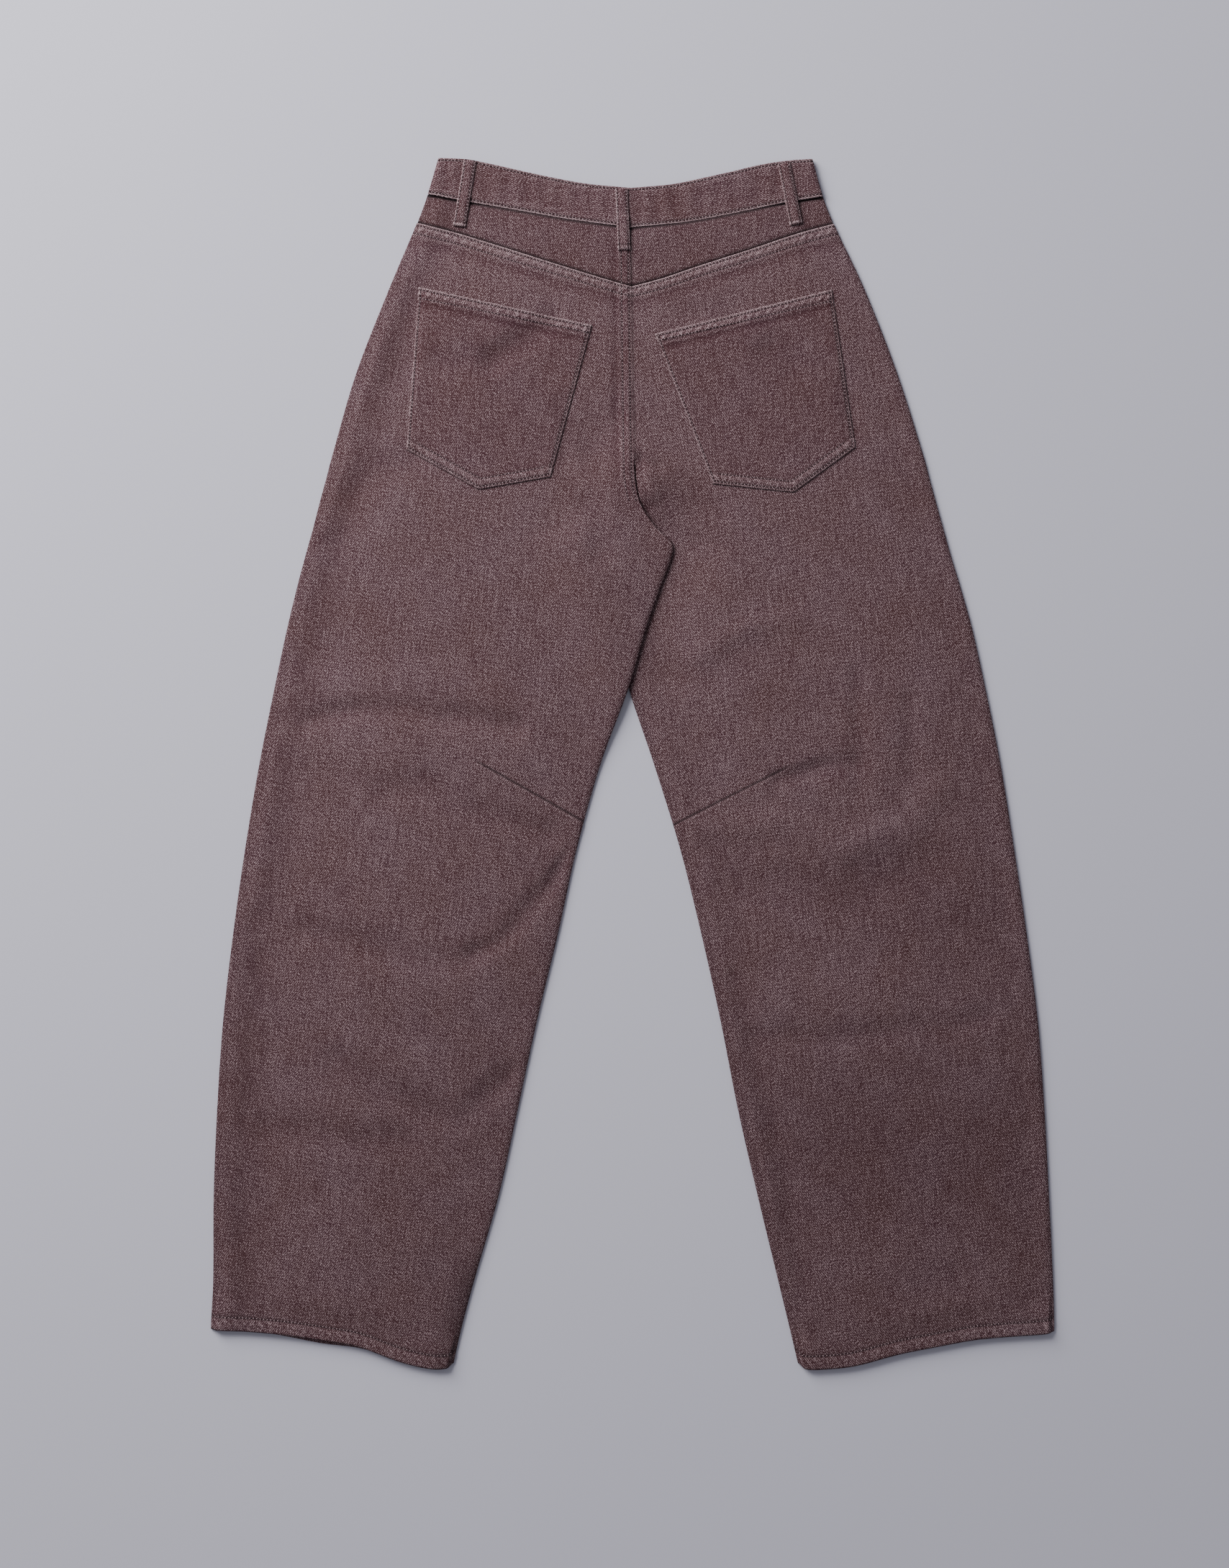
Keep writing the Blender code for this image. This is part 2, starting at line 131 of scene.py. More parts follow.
# Front panels
# The two fronts of the legs, dark denim, lie face down on the floor under the backs. The left
# thigh lies over the right one. They are cut to the outline of the legs as those lie flat.
MM = 0.001
CLOTH = 1.2
BAND = 2.6
SEAM_GAP = 0.3
SIDES = ("left", "right")
INNER_SIGN = {"left": -1, "right": 1}
CROTCH_TOP = 254.0
CROTCH_POINT = 190.0
LAP_LIFT = 2 * (CLOTH + SEAM_GAP) + 1.0
LAP_MARGIN = 4.0
LAP_FALL = 55.0
FRONT_DIP = 18.0
FRONT_HEM_PEEK = 3.0
HEM_PEEK_SHARE = 0.45
HEM_PEEK_REACH = 0.3
HEM_DEPTH = 12.0

# The outline in mm, a row for each level from the waist down. Above the crotch both inseam columns
# hold the seat seam. Below it the left leg reaches past the right one, which is hidden under it.
Station = namedtuple("Station", "level left_side left_inseam right_inseam right_side")
STATIONS = (
    Station(521.0, -167.0, -1.5, -1.5, 154.5),
    Station(490.5, -176.0, -1.5, -1.5, 163.0),
    Station(464.5, -185.5, -1.5, -1.5, 173.0),
    Station(410.0, -208.5, -1.0, -1.0, 198.5),
    Station(335.5, -237.5, 0.0, 0.0, 227.5),
    Station(261.5, -259.0, 1.0, 1.0, 251.0),
    Station(246.0, -263.0, 1.5, -2.0, 255.0),
    Station(224.0, -269.0, 6.0, -8.5, 261.0),
    Station(202.5, -274.5, 20.0, -22.5, 267.0),
    Station(190.0, -278.0, 33.5, -36.0, 270.5),
    Station(177.5, -281.5, 33.0, -35.5, 274.0),
    Station(153.0, -288.0, 24.0, -26.0, 281.5),
    Station(115.5, -297.0, 11.0, -13.5, 292.0),
    Station(66.0, -307.5, -3.5, -3.0, 303.0),
    Station(1.0, -320.5, -27.5, 18.5, 316.0),
    Station(-73.5, -333.0, -48.5, 41.5, 328.0),
    Station(-148.0, -343.5, -65.0, 60.0, 339.0),
    Station(-222.5, -352.0, -83.0, 76.5, 348.5),
    Station(-296.5, -357.0, -99.0, 91.0, 354.0),
    Station(-371.0, -360.0, -115.5, 108.0, 358.0),
    Station(-445.5, -360.5, -137.0, 126.0, 361.5),
    Station(-489.0, -362.5, -148.5, 136.5, 362.5),
    Station(-523.0, -361.5, -156.0, 144.5, 361.0),
)

# Levels of what runs across, by the share of the way from the side to the middle.
Across = namedtuple("Across", "share left right")
WAIST_SEAM = (
    Across(0.0, 490.0, 488.0),
    Across(0.22, 482.8, 482.0),
    Across(0.47, 475.3, 473.4),
    Across(0.73, 467.3, 465.4),
    Across(1.0, 460.6, 460.6),
)
HEM_EDGE = (
    Across(0.0, -486.5, -488.5),
    Across(0.03, -487.5, -490.5),
    Across(0.15, -488.5, -492.5),
    Across(0.3, -491.5, -495.5),
    Across(0.45, -496.0, -501.5),
    Across(0.6, -501.5, -508.0),
    Across(0.78, -514.5, -518.0),
    Across(0.91, -520.5, -521.0),
    Across(0.98, -520.0, -520.5),
    Across(1.0, -516.0, -516.0),
)


def smooth_through(rows, at, column):
    """A column's values at places in the first column, on a smooth curve through the rows."""
    table = np.array(sorted(tuple(row) for row in rows))
    keys, values = table[:, 0], table[:, column]
    before = np.maximum(np.arange(len(keys)) - 1, 0)
    after = np.minimum(np.arange(len(keys)) + 1, len(keys) - 1)
    slopes = (values[after] - values[before]) / (keys[after] - keys[before])
    at = np.clip(at, keys[0], keys[-1])
    here = np.clip(np.searchsorted(keys, at, side="right") - 1, 0, len(keys) - 2)
    step = keys[here + 1] - keys[here]
    t = (at - keys[here]) / step
    start = (1 + 2 * t) * (1 - t) ** 2 * values[here] + t * (1 - t) ** 2 * step * slopes[here]
    end = t * t * (3 - 2 * t) * values[here + 1] - t * t * (1 - t) * step * slopes[here + 1]
    return start + end


def eased(t):
    """0 to 1 with a soft start and end."""
    t = np.clip(t, 0.0, 1.0)
    return t * t * (3 - 2 * t)


def side_x(side, level):
    return smooth_through(STATIONS, level, Station._fields.index(side + "_side"))


def inner_x(side, level):
    """The seat seam or, below the crotch, the leg's inner edge."""
    edge = smooth_through(STATIONS, level, Station._fields.index(side + "_inseam"))
    return edge + INNER_SIGN[side] * SEAM_GAP / 2


def across_level(rows, side, share):
    return smooth_through(rows, share, Across._fields.index(side))


def share_at(side, x, y):
    """How far a place is on its way from the leg's side to its inner edge."""
    return (x - side_x(side, y)) / (inner_x(side, y) - side_x(side, y))


def leg_x(side, level, share):
    """The place at a share of the way from the leg's side to its inner edge."""
    return side_x(side, level) + (inner_x(side, level) - side_x(side, level)) * share


def lap(x, y):
    """1 where the left thigh lies over the right one, falling to 0 around it."""
    left, right = inner_x("left", y), inner_x("right", y)
    half = np.where(y < CROTCH_TOP, (left - right) / 2, CROTCH_TOP - y)
    beyond = np.abs(x - (left + right) / 2) - half
    return eased(1 - (beyond - LAP_MARGIN) / LAP_FALL)


def lap_lift(side, x, y):
    return LAP_LIFT * lap(x, y) if side == "left" else 0.0 * x


def front_hem(side, share):
    """The front's hem, which shows a little below the back's on the left leg."""
    if side == "right":
        return across_level(HEM_EDGE, side, share)
    near = 1 - np.abs(share - HEM_PEEK_SHARE) / HEM_PEEK_REACH
    return across_level(HEM_EDGE, side, share) - FRONT_HEM_PEEK * eased(near)


def places(marks, steps):
    """Places from the first mark to the last, with a step of its own between each two marks."""
    found = [np.array([marks[0]], float)]
    for start, end, step in zip(marks, marks[1:], steps):
        count = max(1, round((end - start) / step))
        found.append(np.linspace(start, end, count + 1)[1:])
    return np.concatenate(found)


# Denim: a twill of cotton, its warp dyed dark brown-plum and its weft left a pale pinkish grey. The
# weft shows as short flecks along the twill's slanting lines, which are mirrored on the right leg.
# Real twill lines lie about 1 mm apart. They are drawn 1.5 mm apart, as coarse as a picture of the
# whole garment shows them. Matt, with hardly a sheen.
WARP_BROWN = "#402323"
WARP_PLUM = "#3B1F2A"
WEFT_PALE = "#C6ACAF"
# The dark brown that the shade attribute mixes in: dirt in the seams, and painted shade in grooves,
# creases, under folds and towards the hems.
DIRT_AND_PAINTED_SHADE = "#24181B"
TWILL_ANGLE = radians(59)
TWILL_STEP = 0.0015
FLECK_LENGTH = 0.0014
FLECK_WIDTH = 0.0007
WARP_STREAK = (0.0013, 0.026)
WEFT_STREAK = (0.017, 0.0012)
MOTTLE = 0.055
GRAIN_TILT = radians(9)
WAVE_TURN = 20.0


def denim_cloth():
    made, tree, shader = new_material("dark brown-plum denim")
    cloth = add_node(tree, "ShaderNodeUVMap", {"uv_map": "cloth"}).outputs[0]

    def stretched(size, angle=0.0):
        settings = {"vector_type": "TEXTURE"}
        inputs = {"Vector": cloth, "Rotation": (0, 0, angle), "Scale": (*size, 1.0)}
        return add_node(tree, "ShaderNodeMapping", settings, inputs).outputs[0]

    def noise(place, detail):
        inputs = {"Vector": place, "Scale": 1.0, "Detail": detail, "Roughness": 0.55}
        return add_node(tree, "ShaderNodeTexNoise", {"noise_dimensions": "2D"}, inputs).outputs[0]

    def attribute(name):
        return add_node(tree, "ShaderNodeAttribute", {"attribute_name": name}).outputs["Fac"]

    threads = stretched((FLECK_LENGTH, FLECK_WIDTH), TWILL_ANGLE)
    flecks = noise(threads, 2.0)
    line_inputs = {
        "Vector": threads,
        "Scale": 2 * pi * FLECK_WIDTH / (WAVE_TURN * TWILL_STEP),
        "Distortion": 1.4,
        "Detail": 1.0,
        "Detail Scale": 6.0,
    }
    line_settings = {"wave_type": "BANDS", "bands_direction": "Y"}
    lines = add_node(tree, "ShaderNodeTexWave", line_settings, line_inputs).outputs["Fac"]
    mottle = noise(stretched((MOTTLE, MOTTLE)), 3.0)
    wear, shade = attribute("wear"), attribute("shade")

    weighed = {"operation": "MULTIPLY_ADD"}
    weft_shows = 0.0
    for source, weight in (
        (flecks, 1.9),
        (lines, 0.3),
        (noise(stretched(WARP_STREAK), 1.0), 0.3),
        (noise(stretched(WEFT_STREAK), 1.0), 0.2),
        (mottle, 0.1),
        (wear, 0.4),
    ):
        sum_inputs = {0: source, 1: weight, 2: weft_shows}
        weft_shows = add_node(tree, "ShaderNodeMath", weighed, sum_inputs).outputs[0]
    spread = {"Value": weft_shows, "From Min": 1.33, "From Max": 2.26}
    pale = add_node(tree, "ShaderNodeMapRange", (), spread).outputs[0]

    mix = {"data_type": "RGBA"}
    colours = {0: mottle, 6: (*to_linear(WARP_BROWN), 1.0), 7: (*to_linear(WARP_PLUM), 1.0)}
    warp = add_node(tree, "ShaderNodeMix", mix, colours).outputs[2]
    threads_mixed = {0: pale, 6: warp, 7: (*to_linear(WEFT_PALE), 1.0)}
    woven = add_node(tree, "ShaderNodeMix", mix, threads_mixed).outputs[2]
    # Dirt and painted shade: the shade attribute darkens the cloth towards a dark brown.
    shadow = {0: shade, 6: woven, 7: (*to_linear(DIRT_AND_PAINTED_SHADE), 1.0)}
    coloured = add_node(tree, "ShaderNodeMix", mix, shadow).outputs[2]
    tree.links.new(coloured, shader.inputs["Base Color"])

    raised_inputs = {0: lines, 1: 0.35, 2: flecks}
    raised = add_node(tree, "ShaderNodeMath", weighed, raised_inputs).outputs[0]
    bump_inputs = {"Height": raised, "Strength": 0.5, "Distance": 0.0004}
    bump = add_node(tree, "ShaderNodeBump", (), bump_inputs).outputs[0]
    tree.links.new(bump, shader.inputs["Normal"])
    matt_inputs = {"Value": flecks, "To Min": 0.92, "To Max": 0.78}
    matt = add_node(tree, "ShaderNodeMapRange", (), matt_inputs).outputs[0]
    tree.links.new(matt, shader.inputs["Roughness"])
    shader.inputs["Specular IOR Level"].default_value = 0.15
    shader.inputs["Sheen Weight"].default_value = 0.03
    shader.inputs["Sheen Roughness"].default_value = 0.5
    return made


denim = denim_cloth()


def grain(side, x, y, tilt=GRAIN_TILT):
    """Where each point lies on the uncut cloth in metres, across and along the warp."""
    across = -x if side == "right" else x
    turned = (across * cos(tilt) - y * sin(tilt), across * sin(tilt) + y * cos(tilt))
    return np.stack(turned, -1) * MM


def cloth_piece(name, x, y, under, over, weave, wear=0.0, shade=0.0):
    """A closed sheet of denim from grids in mm: the plan, and the heights of its two faces. x may
    be a pair, for the upper and the lower face."""
    upper_x, lower_x = x if isinstance(x, tuple) else (x, x)
    rows, columns = upper_x.shape
    count = rows * columns
    faces_of = ((upper_x, over), (lower_x, under))
    points = np.concatenate([np.stack([px, y, z], -1).reshape(-1, 3) for px, z in faces_of])
    index = np.arange(count).reshape(rows, columns)
    corners = index[:-1, :-1], index[:-1, 1:], index[1:, 1:], index[1:, :-1]
    upper = np.stack(corners, -1).reshape(-1, 4)
    edge = np.concatenate([index[0, :-1], index[:-1, -1], index[-1, :0:-1], index[:0:-1, 0]])
    after = np.roll(edge, -1)
    rim = np.stack([after, edge, edge + count, after + count], -1)
    faces = np.concatenate([upper, upper[:, ::-1] + count, rim])
    along, down = points[columns // 2 + 1] - points[columns // 2], points[columns] - points[0]
    if along[0] * down[1] - along[1] * down[0] < 0:
        faces = faces[:, ::-1]
    mesh = bpy.data.meshes.new(name)
    mesh.from_pydata((points * MM).tolist(), [], faces.tolist())
    mesh.shade_smooth()
    corner_points = np.zeros(len(mesh.loops), int)
    mesh.loops.foreach_get("vertex_index", corner_points)
    on_cloth = weave.reshape(-1, 2)[corner_points % count]
    mesh.uv_layers.new(name="cloth").data.foreach_set("uv", on_cloth.astype(np.float32).ravel())
    for title, value in (("wear", wear), ("shade", shade)):
        spread = np.broadcast_to(value, (rows, columns)).astype(np.float32).ravel()
        layer = mesh.attributes.new(title, "FLOAT", "POINT")
        layer.data.foreach_set("value", np.concatenate([spread, spread]))
    mesh.materials.append(denim)
    piece = bpy.data.objects.new(name, mesh)
    bpy.context.scene.collection.objects.link(piece)
    return piece


def laid_cloth(piece, node):
    """Makes the piece a part of the one body and hides the solid that it stands for."""
    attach(piece, "root")
    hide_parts(node)


FRONT_SIDE_INSET = 0.4
FRONT_PLACES = places((0, 12, 288, 300), (2.0, 7.0, 2.0)) / 300
FRONT_LEVELS = places((0, 12, 936, 950), (2.5, 7.0, 1.6)) / 950

# A soft line that follows an edge: how far from it in mm, half its width, and its strength.
Line = namedtuple("Line", "distance half_width strength")
HEM_SEWN = Line(HEM_DEPTH, 1.3, 0.35)
HEM_WEAR = 0.3


def line_at(line, distance):
    """How strong a soft line is at a distance from its edge."""
    return line.strength * np.exp(-(((distance - line.distance) / line.half_width) ** 2))


def front_top(side, share):
    """The front's top edge, lower in the middle than the back's."""
    return across_level(WAIST_SEAM, side, share) - FRONT_DIP * eased(share) - SEAM_GAP


for side in SIDES:
    share, down = np.meshgrid(FRONT_PLACES, FRONT_LEVELS)
    level = front_top(side, share) + (front_hem(side, share) - front_top(side, share)) * down
    inward = -INNER_SIGN[side] * FRONT_SIDE_INSET
    start, end = side_x(side, level) + inward, inner_x(side, level) - inward
    x = start + (end - start) * share
    under = lap_lift(side, x, level)
    from_hem = level - front_hem(side, share)
    wear, shade = HEM_WEAR * eased(1 - from_hem / HEM_DEPTH), line_at(HEM_SEWN, from_hem)
    over, weave = under + CLOTH, grain(side, x, level)
    front = cloth_piece("front_panel_" + side, x, level, under, over, weave, wear, shade)
    laid_cloth(front, "front_" + side)

# Front of the waistband
# Two folded strips of denim, sewn over the top of the fronts, under the back of the waistband. The
# left one laps past the middle, over the button.
WAIST_EDGE = (
    Across(0.0, 521.0, 520.3),
    Across(0.15, 519.8, 518.5),
    Across(0.3, 515.1, 514.9),
    Across(0.45, 509.6, 509.5),
    Across(0.6, 504.3, 504.3),
    Across(0.78, 498.8, 498.4),
    Across(1.0, 495.0, 495.0),
)
BUTTON_THICK = 1.4
BUTTON_LEVEL = 461.0
BUTTON_FLAT = 12.0
BUTTON_SPREAD = 55.0
FLY_LAP = 16.0
ROUND_OFF = 0.5
ROUND_OFF_REACH = 1.6
FOLD_WEAR = 0.35
BAND_TILT = radians(90)
BAND_DEPTH = 30.0
BAND_ROWS = places((0, 2, 28, 30), (0.7, 2.2, 0.7)) / BAND_DEPTH


def button_bump(x, y):
    """How far the waistband's two layers rise over the button under them."""
    away = np.hypot(x - inner_x("left", y), y - BUTTON_LEVEL)
    return (BUTTON_THICK + SEAM_GAP) * eased(1 - (away - BUTTON_FLAT) / BUTTON_SPREAD)


for side in SIDES:
    half_width = abs(side_x(side, BUTTON_LEVEL) - inner_x(side, BUTTON_LEVEL))
    last = 1 - (INNER_SIGN[side] * FLY_LAP) / half_width
    share, down = np.meshgrid(np.linspace(0, last, 60), BAND_ROWS)
    high = across_level(WAIST_EDGE, side, share) - FRONT_DIP * eased(share)
    low = across_level(WAIST_SEAM, side, share) - FRONT_DIP * eased(share) + SEAM_GAP / 2
    level = high + (low - high) * down
    start = side_x(side, level) - INNER_SIGN[side] * FRONT_SIDE_INSET
    x = start + (inner_x(side, level) - start) * share
    under = button_bump(x, level)
    from_edge = np.minimum(down, 1 - down) * BAND_DEPTH
    turned = ROUND_OFF * (1 - eased(from_edge / ROUND_OFF_REACH))
    low_z, top_z, wear = under + turned, under + BAND - turned, FOLD_WEAR * turned / ROUND_OFF
    weave = grain(side, x, level, BAND_TILT)
    band = cloth_piece("front_waistband_" + side, x, level, low_z, top_z, weave, wear)
    laid_cloth(band, "waistband_front_" + side)

# Turned-up hems
# Inside each leg's end the denim is folded up by 12 mm, once against the front and once against
# the back, and the raw edge is hidden under the row of stitches.
HEM_SIDE_INSET = 7.0
HEM_FOLD = 1.0

for side in SIDES:
    middle_level = across_level(HEM_EDGE, side, 0.5)
    ends = HEM_SIDE_INSET / abs(inner_x(side, middle_level) - side_x(side, middle_level))
    share, down = np.meshgrid(np.linspace(ends, 1 - ends, 50), np.linspace(0, 1, 6))
    back_hem = across_level(HEM_EDGE, side, share)
    for layer, edge, place in (("front", front_hem(side, share), 1), ("back", back_hem, 2)):
        level = edge + HEM_DEPTH + (HEM_FOLD - HEM_DEPTH) * down
        x = leg_x(side, level, share)
        under = np.full(x.shape, place * (CLOTH + SEAM_GAP))
        name = f"hem_{layer}_{side}"
        weave = grain(side, x, level)
        hem = cloth_piece(name + "_turned", x, level, under, under + CLOTH, weave)
        laid_cloth(hem, name)

# Back panels
# The two backs of the legs, from the yoke to the hem, with a dart from each inner seam to the
# knee. They are seen whole. The allowances of the side seams and of the inner seams are felt
# through them as a band about 12 mm wide, and the seat seam is felled: folded and sewn twice.
YOKE_SEAM = (
    Across(0.0, 465.5, 464.7),
    Across(0.2, 456.4, 455.7),
    Across(0.45, 442.8, 441.8),
    Across(0.7, 428.1, 427.6),
    Across(0.87, 417.8, 416.8),
    Across(1.0, 410.0, 410.0),
)
# The cosine of the yoke seam's slope, which turns a height above it into a distance from it.
YOKE_SLOPE = 0.965

# The back's rise over the front: its limits, its height over the turned-up hems and how that fades
# above them, and the share of it that is left under the lap of the left thigh. Above the crotch
# the right half rises again to meet the left one, and the seat seam no longer holds both down.
MOST_RELIEF = 9.0
LEAST_RELIEF = 0.05
HEM_RELIEF = 2 * (CLOTH + SEAM_GAP) + 0.1
HEM_CLEAR = 2.0
HEM_BLEND = 20.0
LAP_PRESSED = 0.25
CROTCH_FADE = 50.0
CROTCH_GROOVE = 4.0
SEAT_OPENS = 1.2
YOKE_OVER_BUTTON = 0.35

# How near a folded edge the creases begin to fade, and the colour painted on them: their ridges are
# lighter, partly from wear and partly as painted light, and their troughs are darker as painted shade.
# Those with a half width up to the last value vary in height the most.
CREASE_FADE = 14.0
CREASE_WEAR_AND_LIGHT = 0.04
CREASE_PAINTED_SHADE = 0.035
NARROW_CREASE = 10

# Unevenness of the cloth as soft waves: their height or amount, their size in mm, and a seed.
LATTICE = 64
Wave = namedtuple("Wave", "amount size seed")
CLOTH_WAVES = (Wave(0.18, 52, 3), Wave(0.09, 23, 5))
CREASES_WAVER = (Wave(4, 34, 17), Wave(4, 34, 19))
CREASES_VARY = Wave(0.3, 30, 23)

# How far the back rises over the front with the distance from a folded edge, in mm.
Rise = namedtuple("Rise", "distance height")
EDGE_RISE = (
    Rise(0.0, 0.05),
    Rise(1.5, 0.75),
    Rise(4.0, 1.3),
    Rise(9.0, 1.75),
    Rise(16.0, 2.1),
    Rise(26.0, 2.6),
    Rise(40.0, 3.3),
    Rise(60.0, 4.1),
    Rise(110.0, 5.0),
)

# The folds and creases, a row for each: its line on the cloth, half its width, and its height.
Crease = namedtuple("Crease", "name side line half_width height")
CREASES = (
    Crease("hip trough", "left", ((-190, 262), (-218, 257), (-242, 229), (-256, 193)), 11, -1.3),
    Crease("hip trough end", "left", ((-256, 193), (-278, 120), (-297, 46)), 9, -0.7),
    Crease("hip swell", "left", ((-215, 225), (-238, 170)), 22, 0.4),
    Crease("side trough", "left", ((-325, -133), (-340, -280), (-345, -408)), 9, -0.8),
    Crease("seat trough", "left", ((-190, 400), (-196, 370), (-205, 330)), 11, -1.1),
    Crease("pocket crease", "left", ((-74, 378), (-124, 346)), 9, -1.7),
    Crease("pocket crease end", "left", ((-124, 346), (-166, 344)), 11, -0.8),
    Crease("seat seam trough", "left", ((-10, 400), (-9, 300)), 5, -0.6),
    Crease("beside the pocket", "left", ((-56, 312), (-60, 262)), 7, -0.7),
    Crease("crotch dip", "left", ((-38, 290), (-30, 260)), 12, -1.1),
    Crease("thigh trough", "left", ((-40, 222), (-31, 212), (-28, 180)), 8, -1.3),
    Crease("upper ridge", "left", ((-286, 66), (-202, 72), (-120, 60)), 14, 0.7),
    Crease("upper trough", "left", ((-275, 35), (-246, 43), (-198, 49), (-149, 40), (-104, 29)), 8, -1.5),
    Crease("middle ridge", "left", ((-276, 12), (-180, 16), (-100, 0)), 15, 1.0),
    Crease("middle trough", "left", ((-216, -24), (-182, -21), (-149, -33), (-76, -60)), 10, -1.3),
    Crease(
        "knee fold",
        "left",
        ((-48, -78), (-71, -104), (-96, -125), (-116, -153), (-134, -163)),
        7,
        -2.0,
    ),
    Crease("knee fold end", "left", ((-134, -163), (-150, -169), (-198, -162), (-279, -145)), 10, -1.0),
    Crease("below the knee", "left", ((-80, -150), (-140, -195), (-230, -190)), 20, 0.7),
    Crease(
        "calf trough",
        "left",
        ((-254, -254), (-222, -275), (-182, -295), (-149, -303), (-108, -267)),
        10,
        -1.5,
    ),
    Crease("calf swell", "left", ((-240, -236), (-170, -262)), 14, 0.6),
    Crease("low calf trough", "left", ((-311, -315), (-262, -319), (-198, -323)), 11, -1.2),
    Crease("ankle swell", "left", ((-270, -395), (-190, -410)), 24, 0.5),
    Crease("above the pocket", "right", ((43, 388), (82, 389)), 12, -0.9),
    Crease("pocket dimple", "right", ((118, 351), (136, 341)), 12, -1.3),
    Crease("side of the pocket", "right", ((180, 331), (190, 282)), 8, -0.9),
    Crease("under the pocket", "right", ((28, 231), (67, 217)), 12, -1.0),
    Crease("crotch swell", "right", ((12, 248), (16, 230)), 5, 0.7),
    Crease("crotch arc", "right", ((6, 261), (14, 257), (22, 255)), 4, -1.7),
    Crease("crotch trough", "right", ((2, 262), (5, 240), (12, 222)), 4, -1.5),
    Crease("crotch hollow", "right", ((17, 219), (27, 207)), 8, -1.8),
    Crease("thigh swell", "right", ((142, 126), (97, 112), (53, 95)), 8, 0.8),
    Crease("thigh band", "right", ((120, 98), (60, 83), (25, 79)), 14, -0.9),
    Crease("knee dimple", "right", ((128, -12), (158, -5), (192, 1)), 7, -1.8),
    Crease("inner knee trough", "right", ((194, 80), (197, 20), (195, -20)), 6, -1.0),
    Crease("outer knee trough", "right", ((239, 53), (241, -8)), 6, -1.0),
    Crease("knee swell", "right", ((219, 40), (219, -8)), 8, 0.6),
    Crease("below the dart", "right", ((60, -80), (110, -64)), 10, -0.7),
    Crease("knee ridge", "right", ((70, -54), (134, -50), (183, -70), (240, -50), (264, -20)), 11, 1.3),
    Crease("under the ridge", "right", ((90, -100), (180, -114), (262, -82)), 16, -1.2),
    Crease("outer knee hollow", "right", ((230, -110), (290, -140)), 40, -1.3),
    Crease("calf step", "right", ((110, -238), (183, -234), (264, -226), (304, -218)), 9, -1.1),
    Crease("calf swell", "right", ((120, -206), (220, -197)), 18, 0.8),
    Crease("calf hollow", "right", ((190, -330), (280, -350)), 60, -1.9),
    Crease("inner seam trough", "right", ((87, -182), (126, -344), (146, -467)), 8, -1.0),
    Crease("ankle trough", "right", ((220, -457), (280, -442)), 16, -0.7),
)

# What a sewn edge does to the cloth, by the distance from its fold in mm: the height that it adds,
# how far the pale weft is rubbed bare, and how dark the dirt and the shadow in it are.
Ridge = namedtuple("Ridge", "distance height wear shade")
FELLED_SEAM = (
    Ridge(0.0, -0.35, 0.75, 0.0),
    Ridge(0.7, 0.15, 0.78, 0.0),
    Ridge(2.0, -0.15, -0.05, 0.4),
    Ridge(3.4, 0.35, 0.3, 0.0),
    Ridge(5.5, 0.42, 0.25, 0.0),
    Ridge(7.0, 0.3, 0.1, 0.0),
    Ridge(8.3, -0.15, 0.0, 0.25),
    Ridge(10.0, 0.1, 0.12, 0.0),
    Ridge(13.5, -0.2, -0.2, 0.0),
    Ridge(20.0, 0.0, 0.0, 0.0),
)
HEM_SEAM = (
    Ridge(0.0, -0.4, -0.1, 0.15),
    Ridge(1.0, 0.05, 0.05, 0.0),
    Ridge(4.0, 0.2, 0.05, 0.0),
    Ridge(9.0, 0.2, 0.1, 0.0),
    Ridge(11.9, -0.25, 0.0, 0.35),
    Ridge(13.5, 0.0, 0.0, 0.1),
    Ridge(20.0, 0.0, 0.0, 0.0),
)
# Past the allowance the cloth is darker out to about 50 mm, which is painted shade along the leg's side,
# strongest on the left leg.
SIDE_SEAM = (
    Ridge(0.0, 0.0, 0.0, 0.0),
    Ridge(3.0, 0.05, 0.0, 0.0),
    Ridge(9.0, 0.25, 0.0, 0.0),
    Ridge(12.5, 0.28, 0.0, 0.0),
    Ridge(15.0, 0.08, -0.08, 0.05),
    Ridge(18.0, 0.0, -0.1, 0.16),
    Ridge(22.0, 0.0, -0.12, 0.19),
    Ridge(26.0, 0.0, -0.1, 0.17),
    Ridge(36.0, 0.0, -0.05, 0.08),
    Ridge(48.0, 0.0, 0.0, 0.03),
    Ridge(62.0, 0.0, 0.0, 0.0),
)
# Painted shade on the folded edges that face the light: the left leg's outer side and, below the seat,
# the right leg's inner side.
LIT_FOLD_PAINTED_SHADE = (
    Ridge(0.0, 0.0, -0.1, 0.2),
    Ridge(2.5, 0.0, -0.1, 0.16),
    Ridge(5.0, 0.0, -0.05, 0.07),
    Ridge(9.0, 0.0, 0.0, 0.02),
    Ridge(14.0, 0.0, 0.0, 0.0),
)

# How clearly the allowance of each side seam and inner seam is felt through the back, and how dark the
# painted shade beside it is.
FELT_SIDE = {"left": 0.85, "right": 0.12}
FELT_INNER = {"left": 0.0, "right": 0.35}

# The seat seam: how it fades in above the crotch, how much less it is rubbed than the yoke seam, over its
# width and on its fold, and the painted shadow line on the right half, where it goes under the left.
SEAT_FADE = 30.0
SEAT_DULL = 0.3
SEAT_DULL_WIDTH = 6
SEAT_DULL_FADE = 4
FOLD_DULL = 0.3
FOLD_DULL_FADE = 2.5
SEAT_SHADOW_LINE = Line(0.0, 1.4, 0.5)

# Painted shade: the left leg is darker along its inner side above the hem, where it turns away from the
# light, and both legs are a little darker from the calf down.
ANKLE_SHADE_TOP = -395.0
ANKLE_SHADE_FADE = 60.0
ANKLE_SHADE_WIDTH = 30.0
ANKLE_SHADE = 0.42
LOW_LEG_TOP = -40.0
LOW_LEG_FADE = 250.0
LOW_LEG_PAINTED_SHADE = 0.05

